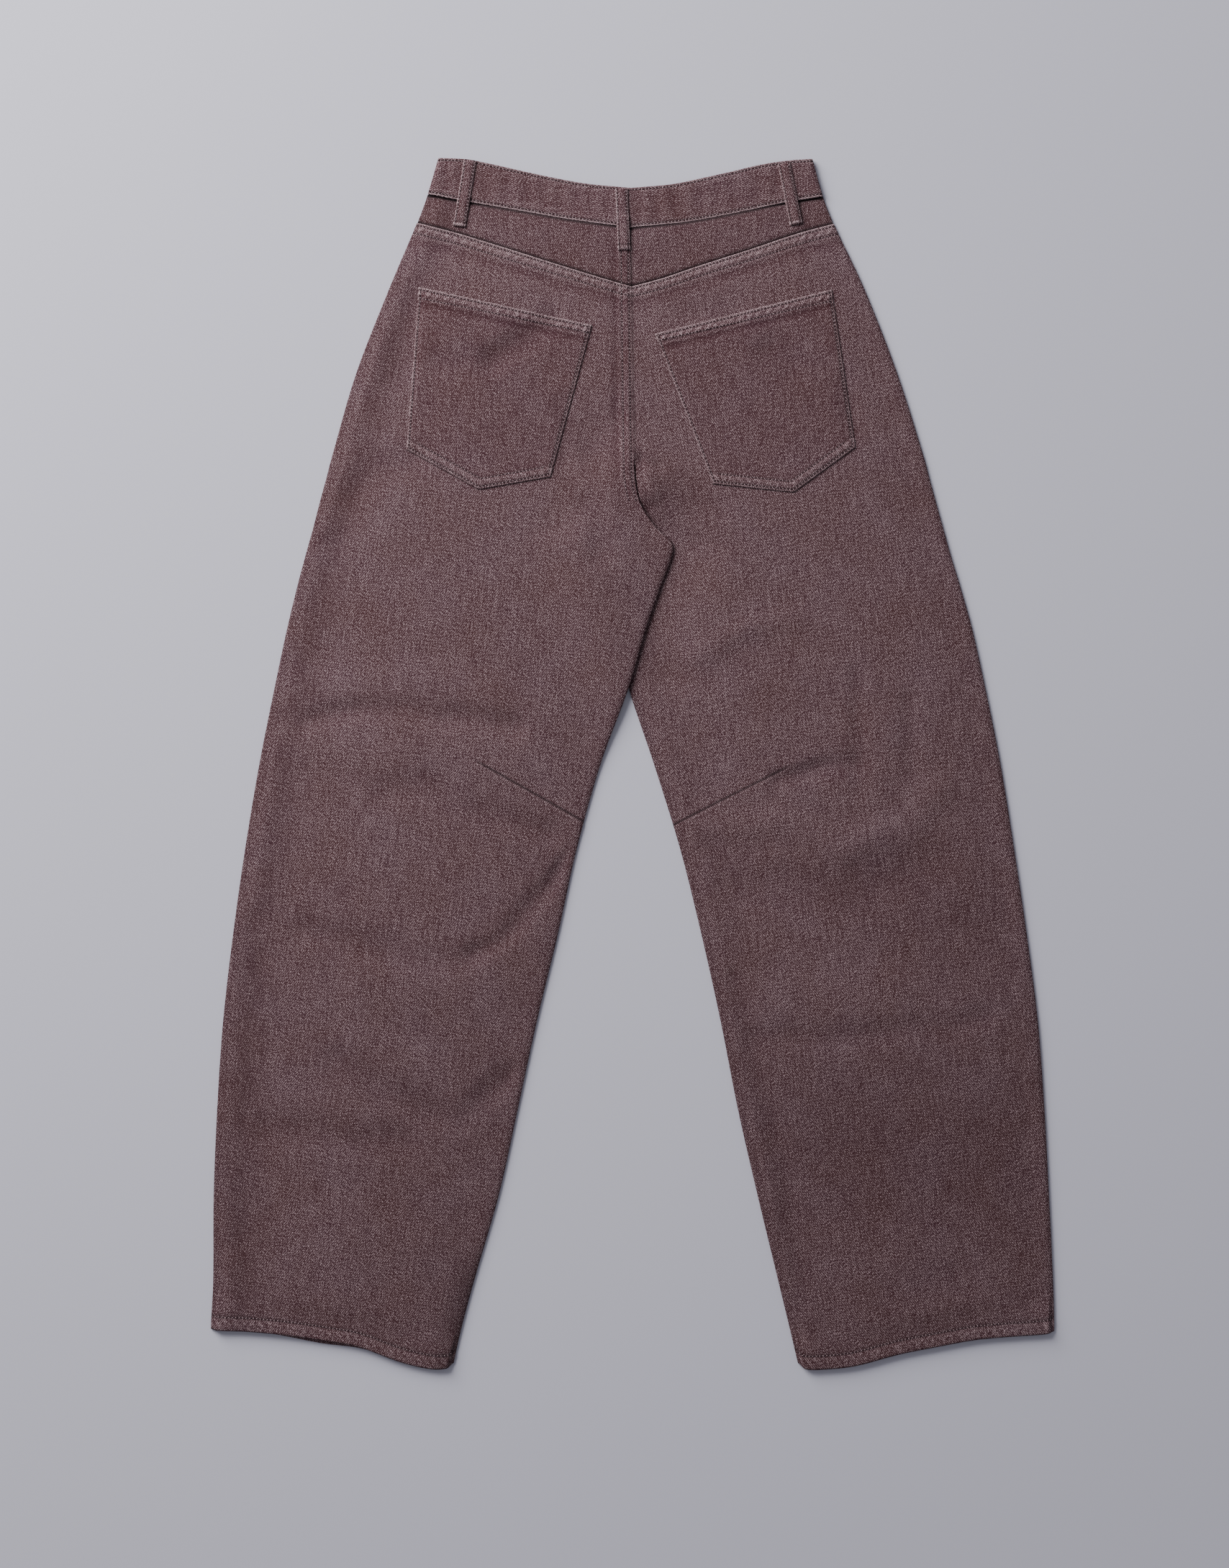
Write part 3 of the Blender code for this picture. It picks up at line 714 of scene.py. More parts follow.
# The knee darts: the share of the leg's width and the level where each ends, and its level at the
# inner seam. The cloth below a dart stands a little higher, the seam is a dark groove, and the
# fold beside it is rubbed.
Dart = namedtuple("Dart", "tip_share tip_level seam_level")
DARTS = {
    "left": Dart(0.609, 6.0, -49.5),
    "right": Dart(0.59, 0.5, -52.5),
}
DART_SLOPE = 0.87
DART_STEP = 0.35
DART_STEP_WIDTH = 2.5
DART_STEP_REACH = 16
DART_FADE = 0.06
DART_SEWN = Line(0.0, 0.8, 1.0)
DART_GROOVE = 0.4
DART_SHADE = 0.85
DART_WEAR = Line(-1.8, 0.8, 0.15)

# The slanting ripples of a sewn fold, and for each kind of fold the distance from it where they
# are strongest, how far they reach from there, and their strength. The crests are rubbed a little
# to one side.
ROPE_STEP = 7.5
ROPE_SLANT = 0.8
ROPE_HEIGHT = 0.2
ROPE_WEAR = 0.35
ROPE_WEAR_TURN = 0.9
ROPE_WAVER = Wave(1.6, 17, 7)
Roping = namedtuple("Roping", "middle reach strength")
HEM_ROPING = Roping(6.5, 6.5, 1.0)
YOKE_ROPING = Roping(5.2, 4.5, 0.8)
SEAT_ROPING = Roping(5.2, 4.5, 0.6)

# Where the grid's points stand across and down the leg, closest together along the seams.
BACK_PLACES =places((0, 0.6, 18, 278, 300), (0.6, 1.25, 4.3, 1.1)) / 300
TO_KNEE = places((0, 4, 18, 440, 446), (0.65, 1.2, 3.8, 0.8)) / 446
FROM_KNEE = places((0, 6, 470, 486), (0.8, 4.3, 1.2)) / 486

# The rolled side of a leg, a row for each added column of points: how far out the upper and the
# lower face are in mm, and the share of the way down to just above the front panel's lower face.
# The seat seam doesn't roll: above the crotch the edge there goes down by less than the cloth.
Roll = namedtuple("Roll", "upper_out lower_out drop")
ROLLS = (Roll(0.4, 0.0, 0.12), Roll(0.62, 0.05, 0.4), Roll(0.55, 0.1, 0.95))
ROLL_BOTTOM = 0.2
ROLL_WALL = 0.05
ROLL_THICKER = 0.1
SEWN_DEPTH = 0.9 * CLOTH
SEWN_FADE = 40.0


def distance_to_line(x, y, line):
    """The distance to a line of straight stretches."""
    nearest = np.full(np.shape(x), np.inf)
    for (ax, ay), (bx, by) in zip(line, line[1:]):
        dx, dy = bx - ax, by - ay
        t = np.clip(((x - ax) * dx + (y - ay) * dy) / (dx * dx + dy * dy), 0.0, 1.0)
        nearest = np.minimum(nearest, np.hypot(x - ax - t * dx, y - ay - t * dy))
    return nearest


def soft_noise(x, y, size, seed):
    """Smooth bumps about this size in mm, from -1 to 1, the same on each run."""
    lattice = np.random.default_rng(seed).uniform(-1, 1, (LATTICE, LATTICE))
    at_x, at_y = x / size + LATTICE // 2, y / size + LATTICE // 2
    column, row = np.floor(at_x).astype(int), np.floor(at_y).astype(int)
    tx, ty = eased(at_x - column), eased(at_y - row)
    low, high = (
        lattice[(row + j) % LATTICE, column % LATTICE] * (1 - tx)
        + lattice[(row + j) % LATTICE, (column + 1) % LATTICE] * tx
        for j in (0, 1)
    )
    return low * (1 - ty) + high * ty


def wave_at(wave, x, y):
    return wave.amount * soft_noise(x, y, wave.size, wave.seed)


def edge_distance(side, x, y):
    """The distance to the leg's nearest folded edge. The seat seam isn't folded."""
    above_crotch = np.maximum(0.0, y - CROTCH_POINT)
    from_inner = np.abs(x - inner_x(side, y)) + SEAT_OPENS * above_crotch
    return np.minimum(np.abs(x - side_x(side, y)), from_inner)


def knee_level(side, share):
    """The line across the knee that ends in the dart."""
    dart = DARTS[side]
    along = np.maximum(0.0, (share - dart.tip_share) / (1 - dart.tip_share))
    return dart.tip_level + (dart.seam_level - dart.tip_level) * along


def folds_at(side, x, y):
    """What the folds and creases add to the height of the cloth in mm. Their lines waver and their
    height comes and goes a little."""
    folds = wave_at(CLOTH_WAVES[0], x, y) + wave_at(CLOTH_WAVES[1], x, y)
    bent_x, bent_y = x + wave_at(CREASES_WAVER[0], x, y), y + wave_at(CREASES_WAVER[1], x, y)
    uneven = wave_at(CREASES_VARY, x, y)
    for crease in CREASES:
        if crease.side == side:
            reach = distance_to_line(bent_x, bent_y, crease.line) / (2 * crease.half_width)
            height = crease.height * (1 + uneven * min(1.0, NARROW_CREASE / crease.half_width))
            folds = folds + height * (1 - eased(reach))
    return folds * eased(edge_distance(side, x, y) / CREASE_FADE)


def back_under(side, x, y):
    """The height of the back layer's lower face in mm."""
    away = edge_distance(side, x, y)
    height = smooth_through(EDGE_RISE, away, 1)
    height = height + folds_at(side, x, y) + YOKE_OVER_BUTTON * button_bump(x, y)
    from_hem = y - across_level(HEM_EDGE, side, share_at(side, x, y))
    at_hem = eased((HEM_DEPTH + HEM_CLEAR + HEM_BLEND - from_hem) / HEM_BLEND)
    hem_height = HEM_RELIEF * eased(away / (HEM_SIDE_INSET - HEM_CLEAR))
    height = height + (hem_height - height) * at_hem
    if side == "right":
        above = eased((y - CROTCH_POINT) / CROTCH_FADE)
        clear = eased((x - inner_x("left", y)) / (2 * CROTCH_GROOVE) + 0.5)
        clear = np.maximum(clear, eased((y - CROTCH_TOP) / CROTCH_GROOVE))
        height = height * (1 - (1 - LAP_PRESSED) * lap(x, y) * (1 - above * clear))
        height = height + LAP_LIFT * lap(x, y) * above * clear
    height = np.clip(height, LEAST_RELIEF, MOST_RELIEF)
    return CLOTH + SEAM_GAP + height + lap_lift(side, x, y)


def add_seam(found, table, distance, strength=1.0):
    """Adds a sewn edge's height, wear and shade to those found so far."""
    return [f + strength * smooth_through(table, distance, k) for k, f in enumerate(found, start=1)]


def add_roping(found, along, distance, roping, strength=1.0):
    """Adds the slanting ripples that the stitches pull into a folded edge, their crests rubbed
    pale."""
    near = eased(1 - np.abs(distance - roping.middle) / roping.reach)
    near = strength * roping.strength * near
    slanted = along + ROPE_SLANT * distance
    turn = 2 * pi * slanted / ROPE_STEP + wave_at(ROPE_WAVER, along, distance)
    found[0] = found[0] + ROPE_HEIGHT * near * np.sin(turn)
    found[1] = found[1] + ROPE_WEAR * near * np.sin(turn + ROPE_WEAR_TURN)
    return found


def seat_dull(from_seat):
    """How much less the seat seam is rubbed than the yoke seam, most of all on its fold."""
    over_width = SEAT_DULL * (1 - eased((from_seat - SEAT_DULL_WIDTH) / SEAT_DULL_FADE))
    return over_width + FOLD_DULL * (1 - eased(from_seat / FOLD_DULL_FADE))


def back_finish(side, x, y):
    """What the seams add to the back's upper face: height in mm, wear and shade. Also the painted light
    and shade of the creases, the edges that face the light and the lower legs.
    """
    share = share_at(side, x, y)
    folds = folds_at(side, x, y)
    # Painted shade on the lower legs, and the creases' painted light and shade: ridges lighter, partly as
    # wear, troughs darker.
    low_leg_painted_shade = LOW_LEG_PAINTED_SHADE * eased((LOW_LEG_TOP - y) / LOW_LEG_FADE)
    found = [0.0 * x, CREASE_WEAR_AND_LIGHT * folds, low_leg_painted_shade + CREASE_PAINTED_SHADE * np.maximum(0.0, -folds)]
    from_yoke = YOKE_SLOPE * (across_level(YOKE_SEAM, side, share) - y)
    found = add_seam(found, FELLED_SEAM, from_yoke)
    from_hem = y - across_level(HEM_EDGE, side, share)
    found = add_seam(found, HEM_SEAM, from_hem)
    from_side = np.abs(x - side_x(side, y))
    found = add_seam(found, SIDE_SEAM, from_side, FELT_SIDE[side])
    from_seat = np.abs(x - inner_x(side, y))
    on_seat = eased((y - CROTCH_POINT - SEAT_FADE) / SEAT_FADE)
    if side == "left":
        found = add_seam(found, FELLED_SEAM, from_seat, on_seat)
        found[1] = found[1] - on_seat * seat_dull(from_seat)
    else:
        # A painted shadow line where the right half goes under the left.
        found[2] = found[2] + line_at(SEAT_SHADOW_LINE, from_seat) * on_seat
    found = add_seam(found, SIDE_SEAM, from_seat, FELT_INNER[side] * (1 - on_seat))
    # Painted shade on the edges that face the light, none along the seat seam.
    unlit = LIT_FOLD_PAINTED_SHADE[-1].distance * on_seat
    found = add_seam(found, LIT_FOLD_PAINTED_SHADE, from_side if side == "left" else from_seat + unlit)
    if side == "left":
        # Painted shade along the left leg's inner side above the hem.
        ankle = eased((ANKLE_SHADE_TOP - y) / ANKLE_SHADE_FADE)
        found[2] = found[2] + ANKLE_SHADE * ankle * (1 - eased(from_seat / ANKLE_SHADE_WIDTH))
    found = add_roping(found, x, from_hem, HEM_ROPING)
    found = add_roping(found, x, from_yoke, YOKE_ROPING)
    if side == "left":
        found = add_roping(found, y, from_seat, SEAT_ROPING, on_seat)
    from_dart = DART_SLOPE * (y - knee_level(side, share))
    on_dart = eased((share - DARTS[side].tip_share) / DART_FADE)
    sewn = line_at(DART_SEWN, from_dart)
    step = eased(0.5 - from_dart / DART_STEP_WIDTH) * eased(1 + from_dart / DART_STEP_REACH)
    found[0] = found[0] + on_dart * (DART_STEP * step - DART_GROOVE * sewn)
    found[1] = found[1] + on_dart * line_at(DART_WEAR, from_dart)
    found[2] = found[2] + on_dart * DART_SHADE * sewn
    return found


def back_over(side, x, y):
    """The height of the back layer's upper face in mm."""
    return back_under(side, x, y) + CLOTH + back_finish(side, x, y)[0]


def rolled_edge(grids, edge, outwards, bottom):
    """The columns of points that roll one edge of a leg down to the bottom, from the grids' first
    or last column. Above the crotch the inner edge is sewn flat."""
    x, level, over, under, wear, shade = (grid[:, edge, None] for grid in grids)
    depth = over - bottom[:, edge, None]
    if edge == -1:
        depth = depth + (SEWN_DEPTH - depth) * eased((level - CROTCH_POINT) / SEWN_FADE)
    columns = []
    for roll in ROLLS:
        fallen = over - roll.drop * depth
        low = np.minimum(under, fallen - ROLL_WALL) - ROLL_THICKER * roll.drop
        upper_x, lower_x = x + outwards * roll.upper_out, x + outwards * roll.lower_out
        columns.append((upper_x, lower_x, level, fallen, low, wear, shade))
    return columns


for side in SIDES:
    share, down = np.meshgrid(BACK_PLACES, np.concatenate([TO_KNEE, 1 + FROM_KNEE[1:]]))
    top = across_level(YOKE_SEAM, side, share) - SEAM_GAP / 4
    knee = knee_level(side, share)
    hem_level = across_level(HEM_EDGE, side, share)
    level = np.where(down < 1, top + (knee - top) * down, knee + (hem_level - knee) * (down - 1))
    x = leg_x(side, level, share)
    under = back_under(side, x, level)
    added, wear, shade = back_finish(side, x, level)
    grids = (x, level, under + CLOTH + added, under, wear, shade)
    bottom = lap_lift(side, x, level) + ROLL_BOTTOM
    columns = [
        *reversed(rolled_edge(grids, 0, INNER_SIGN[side], bottom)),
        (x, *grids),
        *rolled_edge(grids, -1, -INNER_SIGN[side], bottom),
    ]
    upper_x, lower_x, y, top_z, low_z, wear, shade = (np.hstack(values) for values in zip(*columns))
    plan_x, weave = (upper_x, lower_x), grain(side, upper_x, y)
    back = cloth_piece("back_panel_" + side, plan_x, y, low_z, top_z, weave, wear, shade)
    laid_cloth(back, "back_" + side)

# Yoke
# Two shaped halves between the waistband and the V of the yoke seam, cut on another slant of the
# grain. Their lower edge goes under the folded top edge of the back panels.
YOKE_TILT = radians(3)
YOKE_UNWORN = 0.08
YOKE_SHADE = 0.05
YOKE_LEVELS = places((0, 5, 33, 40), (1.0, 3.2, 0.9)) / 40

# What the yoke does under the folded edge of the back panels, and under the waistband: a groove, with a
# painted shadow in it.
FOLD_GROOVE_AND_SHADOW = (
    Ridge(0.0, -0.7, 0.0, 0.85),
    Ridge(1.0, -0.45, 0.0, 0.65),
    Ridge(2.0, -0.15, 0.0, 0.2),
    Ridge(4.0, 0.0, 0.0, 0.04),
    Ridge(8.0, 0.0, 0.0, 0.0),
)
BAND_GROOVE_AND_SHADOW = (
    Ridge(0.0, -2.2, 0.0, 0.85),
    Ridge(1.2, -1.7, 0.0, 0.75),
    Ridge(2.4, -0.9, 0.0, 0.3),
    Ridge(4.5, -0.35, -0.05, 0.05),
    Ridge(9.0, 0.0, 0.0, 0.0),
)


def yoke_finish(side, x, y):
    """What the seams add to the yoke's upper face: height in mm, wear and shade, with painted shadow
    under the folded edges and the waistband.
    """
    share = share_at(side, x, y)
    found = [0.0 * x, 0.0 * x - YOKE_UNWORN, 0.0 * x + YOKE_SHADE]
    found = add_seam(found, FOLD_GROOVE_AND_SHADOW, YOKE_SLOPE * (y - across_level(YOKE_SEAM, side, share)))
    found = add_seam(found, BAND_GROOVE_AND_SHADOW, across_level(WAIST_SEAM, side, share) - y)
    from_side, from_seat = np.abs(x - side_x(side, y)), np.abs(x - inner_x(side, y))
    if side == "left":
        found = add_seam(found, FELLED_SEAM, from_seat)
        found[1] = found[1] - seat_dull(from_seat)
        found = add_roping(found, y, from_seat, SEAT_ROPING)
        found = add_seam(found, LIT_FOLD_PAINTED_SHADE, from_side)
    else:
        found[2] = found[2] + line_at(SEAT_SHADOW_LINE, from_seat)
    return add_seam(found, SIDE_SEAM, from_side, FELT_SIDE[side])


for side in SIDES:
    share, down = np.meshgrid(BACK_PLACES, YOKE_LEVELS)
    high = across_level(WAIST_SEAM, side, share) - SEAM_GAP / 4
    low = across_level(YOKE_SEAM, side, share) + SEAM_GAP / 4
    level = high + (low - high) * down
    x = leg_x(side, level, share)
    under = back_under(side, x, level)
    added, wear, shade = yoke_finish(side, x, level)
    added = np.maximum(added, CLOTH + SEAM_GAP / 2 - under)
    over, under = under + CLOTH + added, under + np.minimum(added, 0.0)
    weave = grain(side, x, level, YOKE_TILT)
    yoke = cloth_piece("back_yoke_" + side, x, level, under, over, weave, wear, shade)
    laid_cloth(yoke, "yoke_" + side)

# Back of the waistband
# One straight strip of denim, folded over a stiffener and sewn along both long edges, which draws
# it into soft upright puckers. It is lighter than the rest where it has been rubbed.
BAND_EDGE = (
    Ridge(0.0, -0.6, 0.3, 0.0),
    Ridge(0.8, -0.05, 0.45, 0.0),
    Ridge(2.0, -0.35, 0.0, 0.45),
    Ridge(3.4, 0.05, 0.15, 0.0),
    Ridge(6.0, 0.1, 0.05, 0.0),
    Ridge(10.0, 0.05, 0.0, 0.0),
)
BAND_UNWORN = 0.12
PALE_FOLD = Line(0.6, 0.6, 0.8)

# The puckers are strongest away from both long edges. They waver and come and go along the band,
# and each is rubbed a little to one side of its crest.
PUCKER_STEP = 15.0
PUCKER_HEIGHT = 0.25
PUCKER_WEAR = 0.12
PUCKER_WEAR_TURN = 0.6
PUCKER_STRETCH = 0.3
PUCKERS_WAVER = Wave(4.0, 30, 11)
PUCKERS_COME = Wave(0.5, 40, 13)
PUCKERS_AT_EDGE = 0.35
PUCKERS_FULL = 9

# Where the grid's points stand, and how the strip's two ends are rounded, above and below.
BACK_BAND_ROWS = places((0, 4, 28, 32), (0.7, 2.0, 0.7)) / 32
HALF_BAND = places((0, 4, 170), (0.8, 2.2)) / 170
HALF_WAIST = 160
END_ROUND = 3.0
END_FALL = 0.9
END_RISE = 0.4


def band_under(x, y):
    return BAND + SEAM_GAP + button_bump(x, y)


def band_finish(x, y, high, low):
    """What the rows of stitches add to the waistband's upper face: height in mm, wear and shade."""
    found = [0.0 * x, 0.0 * x - BAND_UNWORN, 0.0 * x]
    found = add_seam(found, BAND_EDGE, high - y)
    found = add_seam(found, BAND_EDGE, y - low)
    middle = eased(np.minimum(high - y, y - low) / PUCKERS_FULL)
    turn = 2 * pi * x / PUCKER_STEP + wave_at(PUCKERS_WAVER, x, y * PUCKER_STRETCH)
    strength = 0.5 + wave_at(PUCKERS_COME, x, y)
    strength = strength * (PUCKERS_AT_EDGE + (1 - PUCKERS_AT_EDGE) * middle)
    found[0] = found[0] + PUCKER_HEIGHT * strength * np.sin(turn)
    found[1] = found[1] + PUCKER_WEAR * strength * np.sin(turn + PUCKER_WEAR_TURN)
    found[1] = found[1] + line_at(PALE_FOLD, y - low)
    return found


grids = []
for side, band_places in (("left", HALF_BAND), ("right", HALF_BAND[-2::-1])):
    share, down = np.meshgrid(band_places, BACK_BAND_ROWS)
    high = across_level(WAIST_EDGE, side, share)
    low = across_level(WAIST_SEAM, side, share) + SEAM_GAP / 4
    level = high + (low - high) * down
    middle = (inner_x("left", level) + inner_x("right", level)) / 2
    x = side_x(side, level) + (middle - side_x(side, level)) * share
    grids.append((x, level, high, low, np.minimum(share * HALF_WAIST, END_ROUND)))
x, level, high, low, from_end = (np.hstack(values) for values in zip(*grids))
added, wear, shade = band_finish(x, level, high, low)
under = band_under(x, level)
at_end = 1 - eased(from_end / END_ROUND)
low_z, top_z = under + END_RISE * at_end, under + BAND + added - END_FALL * at_end
weave = grain("left", x, level, BAND_TILT)
band = cloth_piece("back_waistband", x, level, low_z, top_z, weave, wear, shade)
laid_cloth(band, "waistband_back")

# Back pockets
# Patches with a pointed lower edge. The top is folded to a band. It and the lower edge are sewn
# twice, the sides once. They lie on the back panels and take their form.
LAY_GAP = 0.35
Pocket = namedtuple("Pocket", "name side top_outer top_inner low_inner point low_outer")
POCKETS = (
    Pocket(
        "pocket_left",
        "left",
        (-184.2, 410.1),
        (-34.5, 376.7),
        (-70.3, 246.1),
        (-132.1, 235.2),
        (-194.6, 270),
    ),
    Pocket(
        "pocket_right",
        "right",
        (171.4, 407.8),
        (18.7, 369.2),
        (68.7, 240.1),
        (138.5, 232.8),
        (191.8, 271.7),
    ),
)
POCKET_TOP = (
    Ridge(0.0, -0.5, 0.3, 0.5),
    Ridge(0.6, -0.1, 0.75, 0.0),
    Ridge(1.4, 0.0, 0.5, 0.0),
    Ridge(2.4, -0.2, 0.0, 0.38),
    Ridge(3.8, 0.1, 0.3, 0.0),
    Ridge(5.5, 0.25, 0.3, 0.0),
    Ridge(7.4, 0.2, 0.1, 0.0),
    Ridge(8.6, -0.15, 0.0, 0.25),
    Ridge(10.2, 0.1, 0.1, 0.0),
    Ridge(13.6, -0.3, -0.32, 0.05),
    Ridge(18.0, 0.0, 0.0, 0.0),
)
POCKET_EDGE = (
    Ridge(0.0, -1.1, 0.1, 0.4),
    Ridge(0.6, -0.45, 0.48, 0.05),
    Ridge(1.3, -0.15, 0.45, 0.0),
    Ridge(2.4, -0.35, 0.0, 0.45),
    Ridge(3.8, 0.1, 0.05, 0.0),
    Ridge(8.0, 0.15, 0.0, 0.0),
    Ridge(14.0, 0.0, 0.0, 0.0),
)
POCKET_LOW = (
    Ridge(0.0, 0.0, 0.0, 0.0),
    Ridge(4.0, 0.1, 0.15, 0.0),
    Ridge(7.3, 0.25, 0.3, 0.0),
    Ridge(9.1, -0.15, 0.0, 0.25),
    Ridge(11.0, 0.0, 0.0, 0.0),
)
POCKET_ROW = 2.4
POCKET_LOW_ROW = 9.1
POCKET_TOP_ROW = 8.5
POCKET_UNWORN = 0.1
POCKET_TOP_ROPING = Roping(5.4, 4.5, 1.0)
POCKET_LOW_ROPING = Roping(5.7, 4.5, 0.8)
POCKET_TILT = radians(4)
POCKET_PLACES = places((0, 4, 12, 72, 132, 140, 144), (0.65, 1.1, 2.6, 2.6, 1.1, 0.65)) / 144
POCKET_LEVELS = places((0, 4, 14, 130, 138, 142), (0.65, 1.0, 2.7, 1.0, 0.65)) / 142


def pocket_over(pocket, x, y):
    """The upper face of a pocket: its height in mm, wear and shade."""
    folds = folds_at(pocket.side, x, y)
    # The creases' painted light and shade: ridges lighter, partly as wear, troughs darker.
    wear, shade = CREASE_WEAR_AND_LIGHT * folds - POCKET_UNWORN, CREASE_PAINTED_SHADE * np.maximum(0.0, -folds)
    found = [0.0 * x, wear, shade]
    top = (pocket.top_outer, pocket.top_inner)
    low = (pocket.low_inner, pocket.point, pocket.low_outer)
    from_top, from_low = distance_to_line(x, y, top), distance_to_line(x, y, low)
    found = add_seam(found, POCKET_TOP, from_top)
    found = add_seam(found, POCKET_LOW, from_low)
    found = add_seam(found, POCKET_EDGE, distance_to_line(x, y, (top[1], *low, top[0])))
    found = add_roping(found, x, from_top, POCKET_TOP_ROPING)
    found = add_roping(found, x, from_low, POCKET_LOW_ROPING)
    found[0] = found[0] + back_under(pocket.side, x, y) + 2 * CLOTH + LAY_GAP
    return found


for pocket in POCKETS:
    outer, inner = pocket.low_outer[0], pocket.low_inner[0]
    point_share = (pocket.point[0] - outer) / (inner - outer)
    share, down = np.meshgrid(POCKET_PLACES, POCKET_LEVELS)
    before = np.clip(share / point_share, 0, 1)
    after = np.clip((share - point_share) / (1 - point_share), 0, 1)
    top_point = [a + (b - a) * point_share for a, b in zip(pocket.top_outer, pocket.top_inner)]
    low, high = (
        [a + (b - a) * before + (c - b) * after for a, b, c in zip(*edge)]
        for edge in (
            (pocket.low_outer, pocket.point, pocket.low_inner),
            (pocket.top_outer, top_point, pocket.top_inner),
        )
    )
    x, level = (a + (b - a) * down for a, b in zip(high, low))
    over, wear, shade = pocket_over(pocket, x, level)
    under = np.minimum(back_under(pocket.side, x, level) + CLOTH + LAY_GAP, over - 0.5)
    weave = grain(pocket.side, x, level, POCKET_TILT)
    patch = cloth_piece("patch_" + pocket.name, x, level, under, over, weave, wear, shade)
    laid_cloth(patch, pocket.name)

# Belt loops
# Narrow strips of denim folded in three, with a row of stitches along each edge. Each lies over the
# waistband, is folded under at its lower end and is barred there to the yoke.
LOOP_CLOTH = 1.8
LOOP_WIDTH = 11.0
Loop = namedtuple("Loop", "name top bottom")
LOOPS = (
    Loop("loop_left", (-139.5, 519.0), (-149.0, 461.5)),
    Loop("loop_centre", (-9.5, 494.0), (-7.2, 441.0)),
    Loop("loop_right", (130.0, 516.0), (140.7, 463.5)),
)
LOOP_ROW = 1.6
LOOP_STRIP = (
    Ridge(0.0, -1.2, 0.3, 0.1),
    Ridge(0.6, -0.5, 0.7, 0.0),
    Ridge(1.6, -0.45, 0.0, 0.45),
    Ridge(2.8, -0.05, 0.05, 0.0),
    Ridge(5.5, 0.1, 0.1, 0.0),
)

# By the distance from the loop's lower end: the fold rubbed pale, the bar of stitches that stands
# up, and the shadow behind it.
FOLDED_END = Line(1.7, 1.0, 1.3)
BAR = Line(2.2, 1.3, 0.35)
BEHIND_BAR = Line(4.4, 0.9, 0.5)
LOOP_UNWORN = 0.12
LOOP_TILT = radians(4)
LOOP_PLACES = places((-5.5, -3, 3, 5.5), (0.5, 1.0, 0.5))
LOOP_LEVELS = places((0, 5, 52, 58.3), (0.8, 1.8, 0.6))


def level_across(rows, x, y):
    """The level of what runs across at a place, on whichever half it is."""
    left = x < inner_x("left", y)
    share = np.where(left, share_at("left", x, y), share_at("right", x, y))
    return np.where(left, across_level(rows, "left", share), across_level(rows, "right", share))


def waist_over(x, y):
    """The height of the waistband or the yoke, whichever lies at a place."""
    left = x < inner_x("left", y)
    yoke = np.where(left, back_under("left", x, y), back_under("right", x, y)) + CLOTH
    return np.where(y > level_across(WAIST_SEAM, x, y), band_under(x, y) + BAND, yoke)


def loop_grid(loop, aside, down):
    """Places on a loop, aside from its middle and down from its top in mm: the plan, the heights of
    both faces, wear and shade."""
    (tx, ty), (bx, by) = loop.top, loop.bottom
    length = hypot(bx - tx, by - ty)
    dx, dy = (bx - tx) / length, (by - ty) / length
    down = np.minimum(down, length)
    x, y = tx + dx * down - dy * aside, ty + dy * down + dx * aside
    felt = [
        waist_over(tx + dx * (down + r) - dy * edge, ty + dy * (down + r) + dx * edge)
        for r in range(-7, 8)
        for edge in (-LOOP_WIDTH / 2, 0.0, LOOP_WIDTH / 2)
    ]
    under = np.max(felt, axis=0) + LAY_GAP
    from_edge, from_end = LOOP_WIDTH / 2 - np.abs(aside), length - down
    added, wear, shade = (smooth_through(LOOP_STRIP, from_edge, k) for k in (1, 2, 3))
    ends = 1.0 * (1 - eased(from_end / 1.2)) + 0.9 * (1 - eased(down / 1.6))
    over = np.maximum(under + LOOP_CLOTH + added + line_at(BAR, from_end) - ends, under + 0.4)
    wear = wear - LOOP_UNWORN + line_at(FOLDED_END, from_end)
    return x, y, under, over, wear, shade + line_at(BEHIND_BAR, from_end)


for loop in LOOPS:
    aside, down = np.meshgrid(LOOP_PLACES, LOOP_LEVELS)
    x, level, under, over, wear, shade = loop_grid(loop, aside, down)
    weave = grain("left", x, level, LOOP_TILT)
    strip = cloth_piece("belt_" + loop.name, x, level, under, over, weave, wear, shade)
    laid_cloth(strip, loop.name)

# Sewing thread
# Rows of dark, tone-on-tone cotton thread, 3 mm to the stitch: two on the yoke seam, the seat seam
# and the pockets' tops and points, one elsewhere. Between each two stitches the cloth stands up in
# a dot that is rubbed pale.
THREAD_DARK = "#2E1D22"
RUBBED_PALE = "#B29A9D"
STITCH_PITCH = 3.0
STITCH_SIZE = (2.2, 0.9, 0.6)
DOT_SIZE = (0.8, 0.9, 0.55)
THREAD_LIFT = 0.08
HEM_ROW = 11.9
BAND_ROW = 2.1
FELLED_ROWS = (2.1, 8.3)
ROW_SHARES = (0.008, 0.995)
SEAT_ROW_LEVELS = (439.0, 226.0)
LOOP_ROW_LEVELS = (1.0, 55.0)


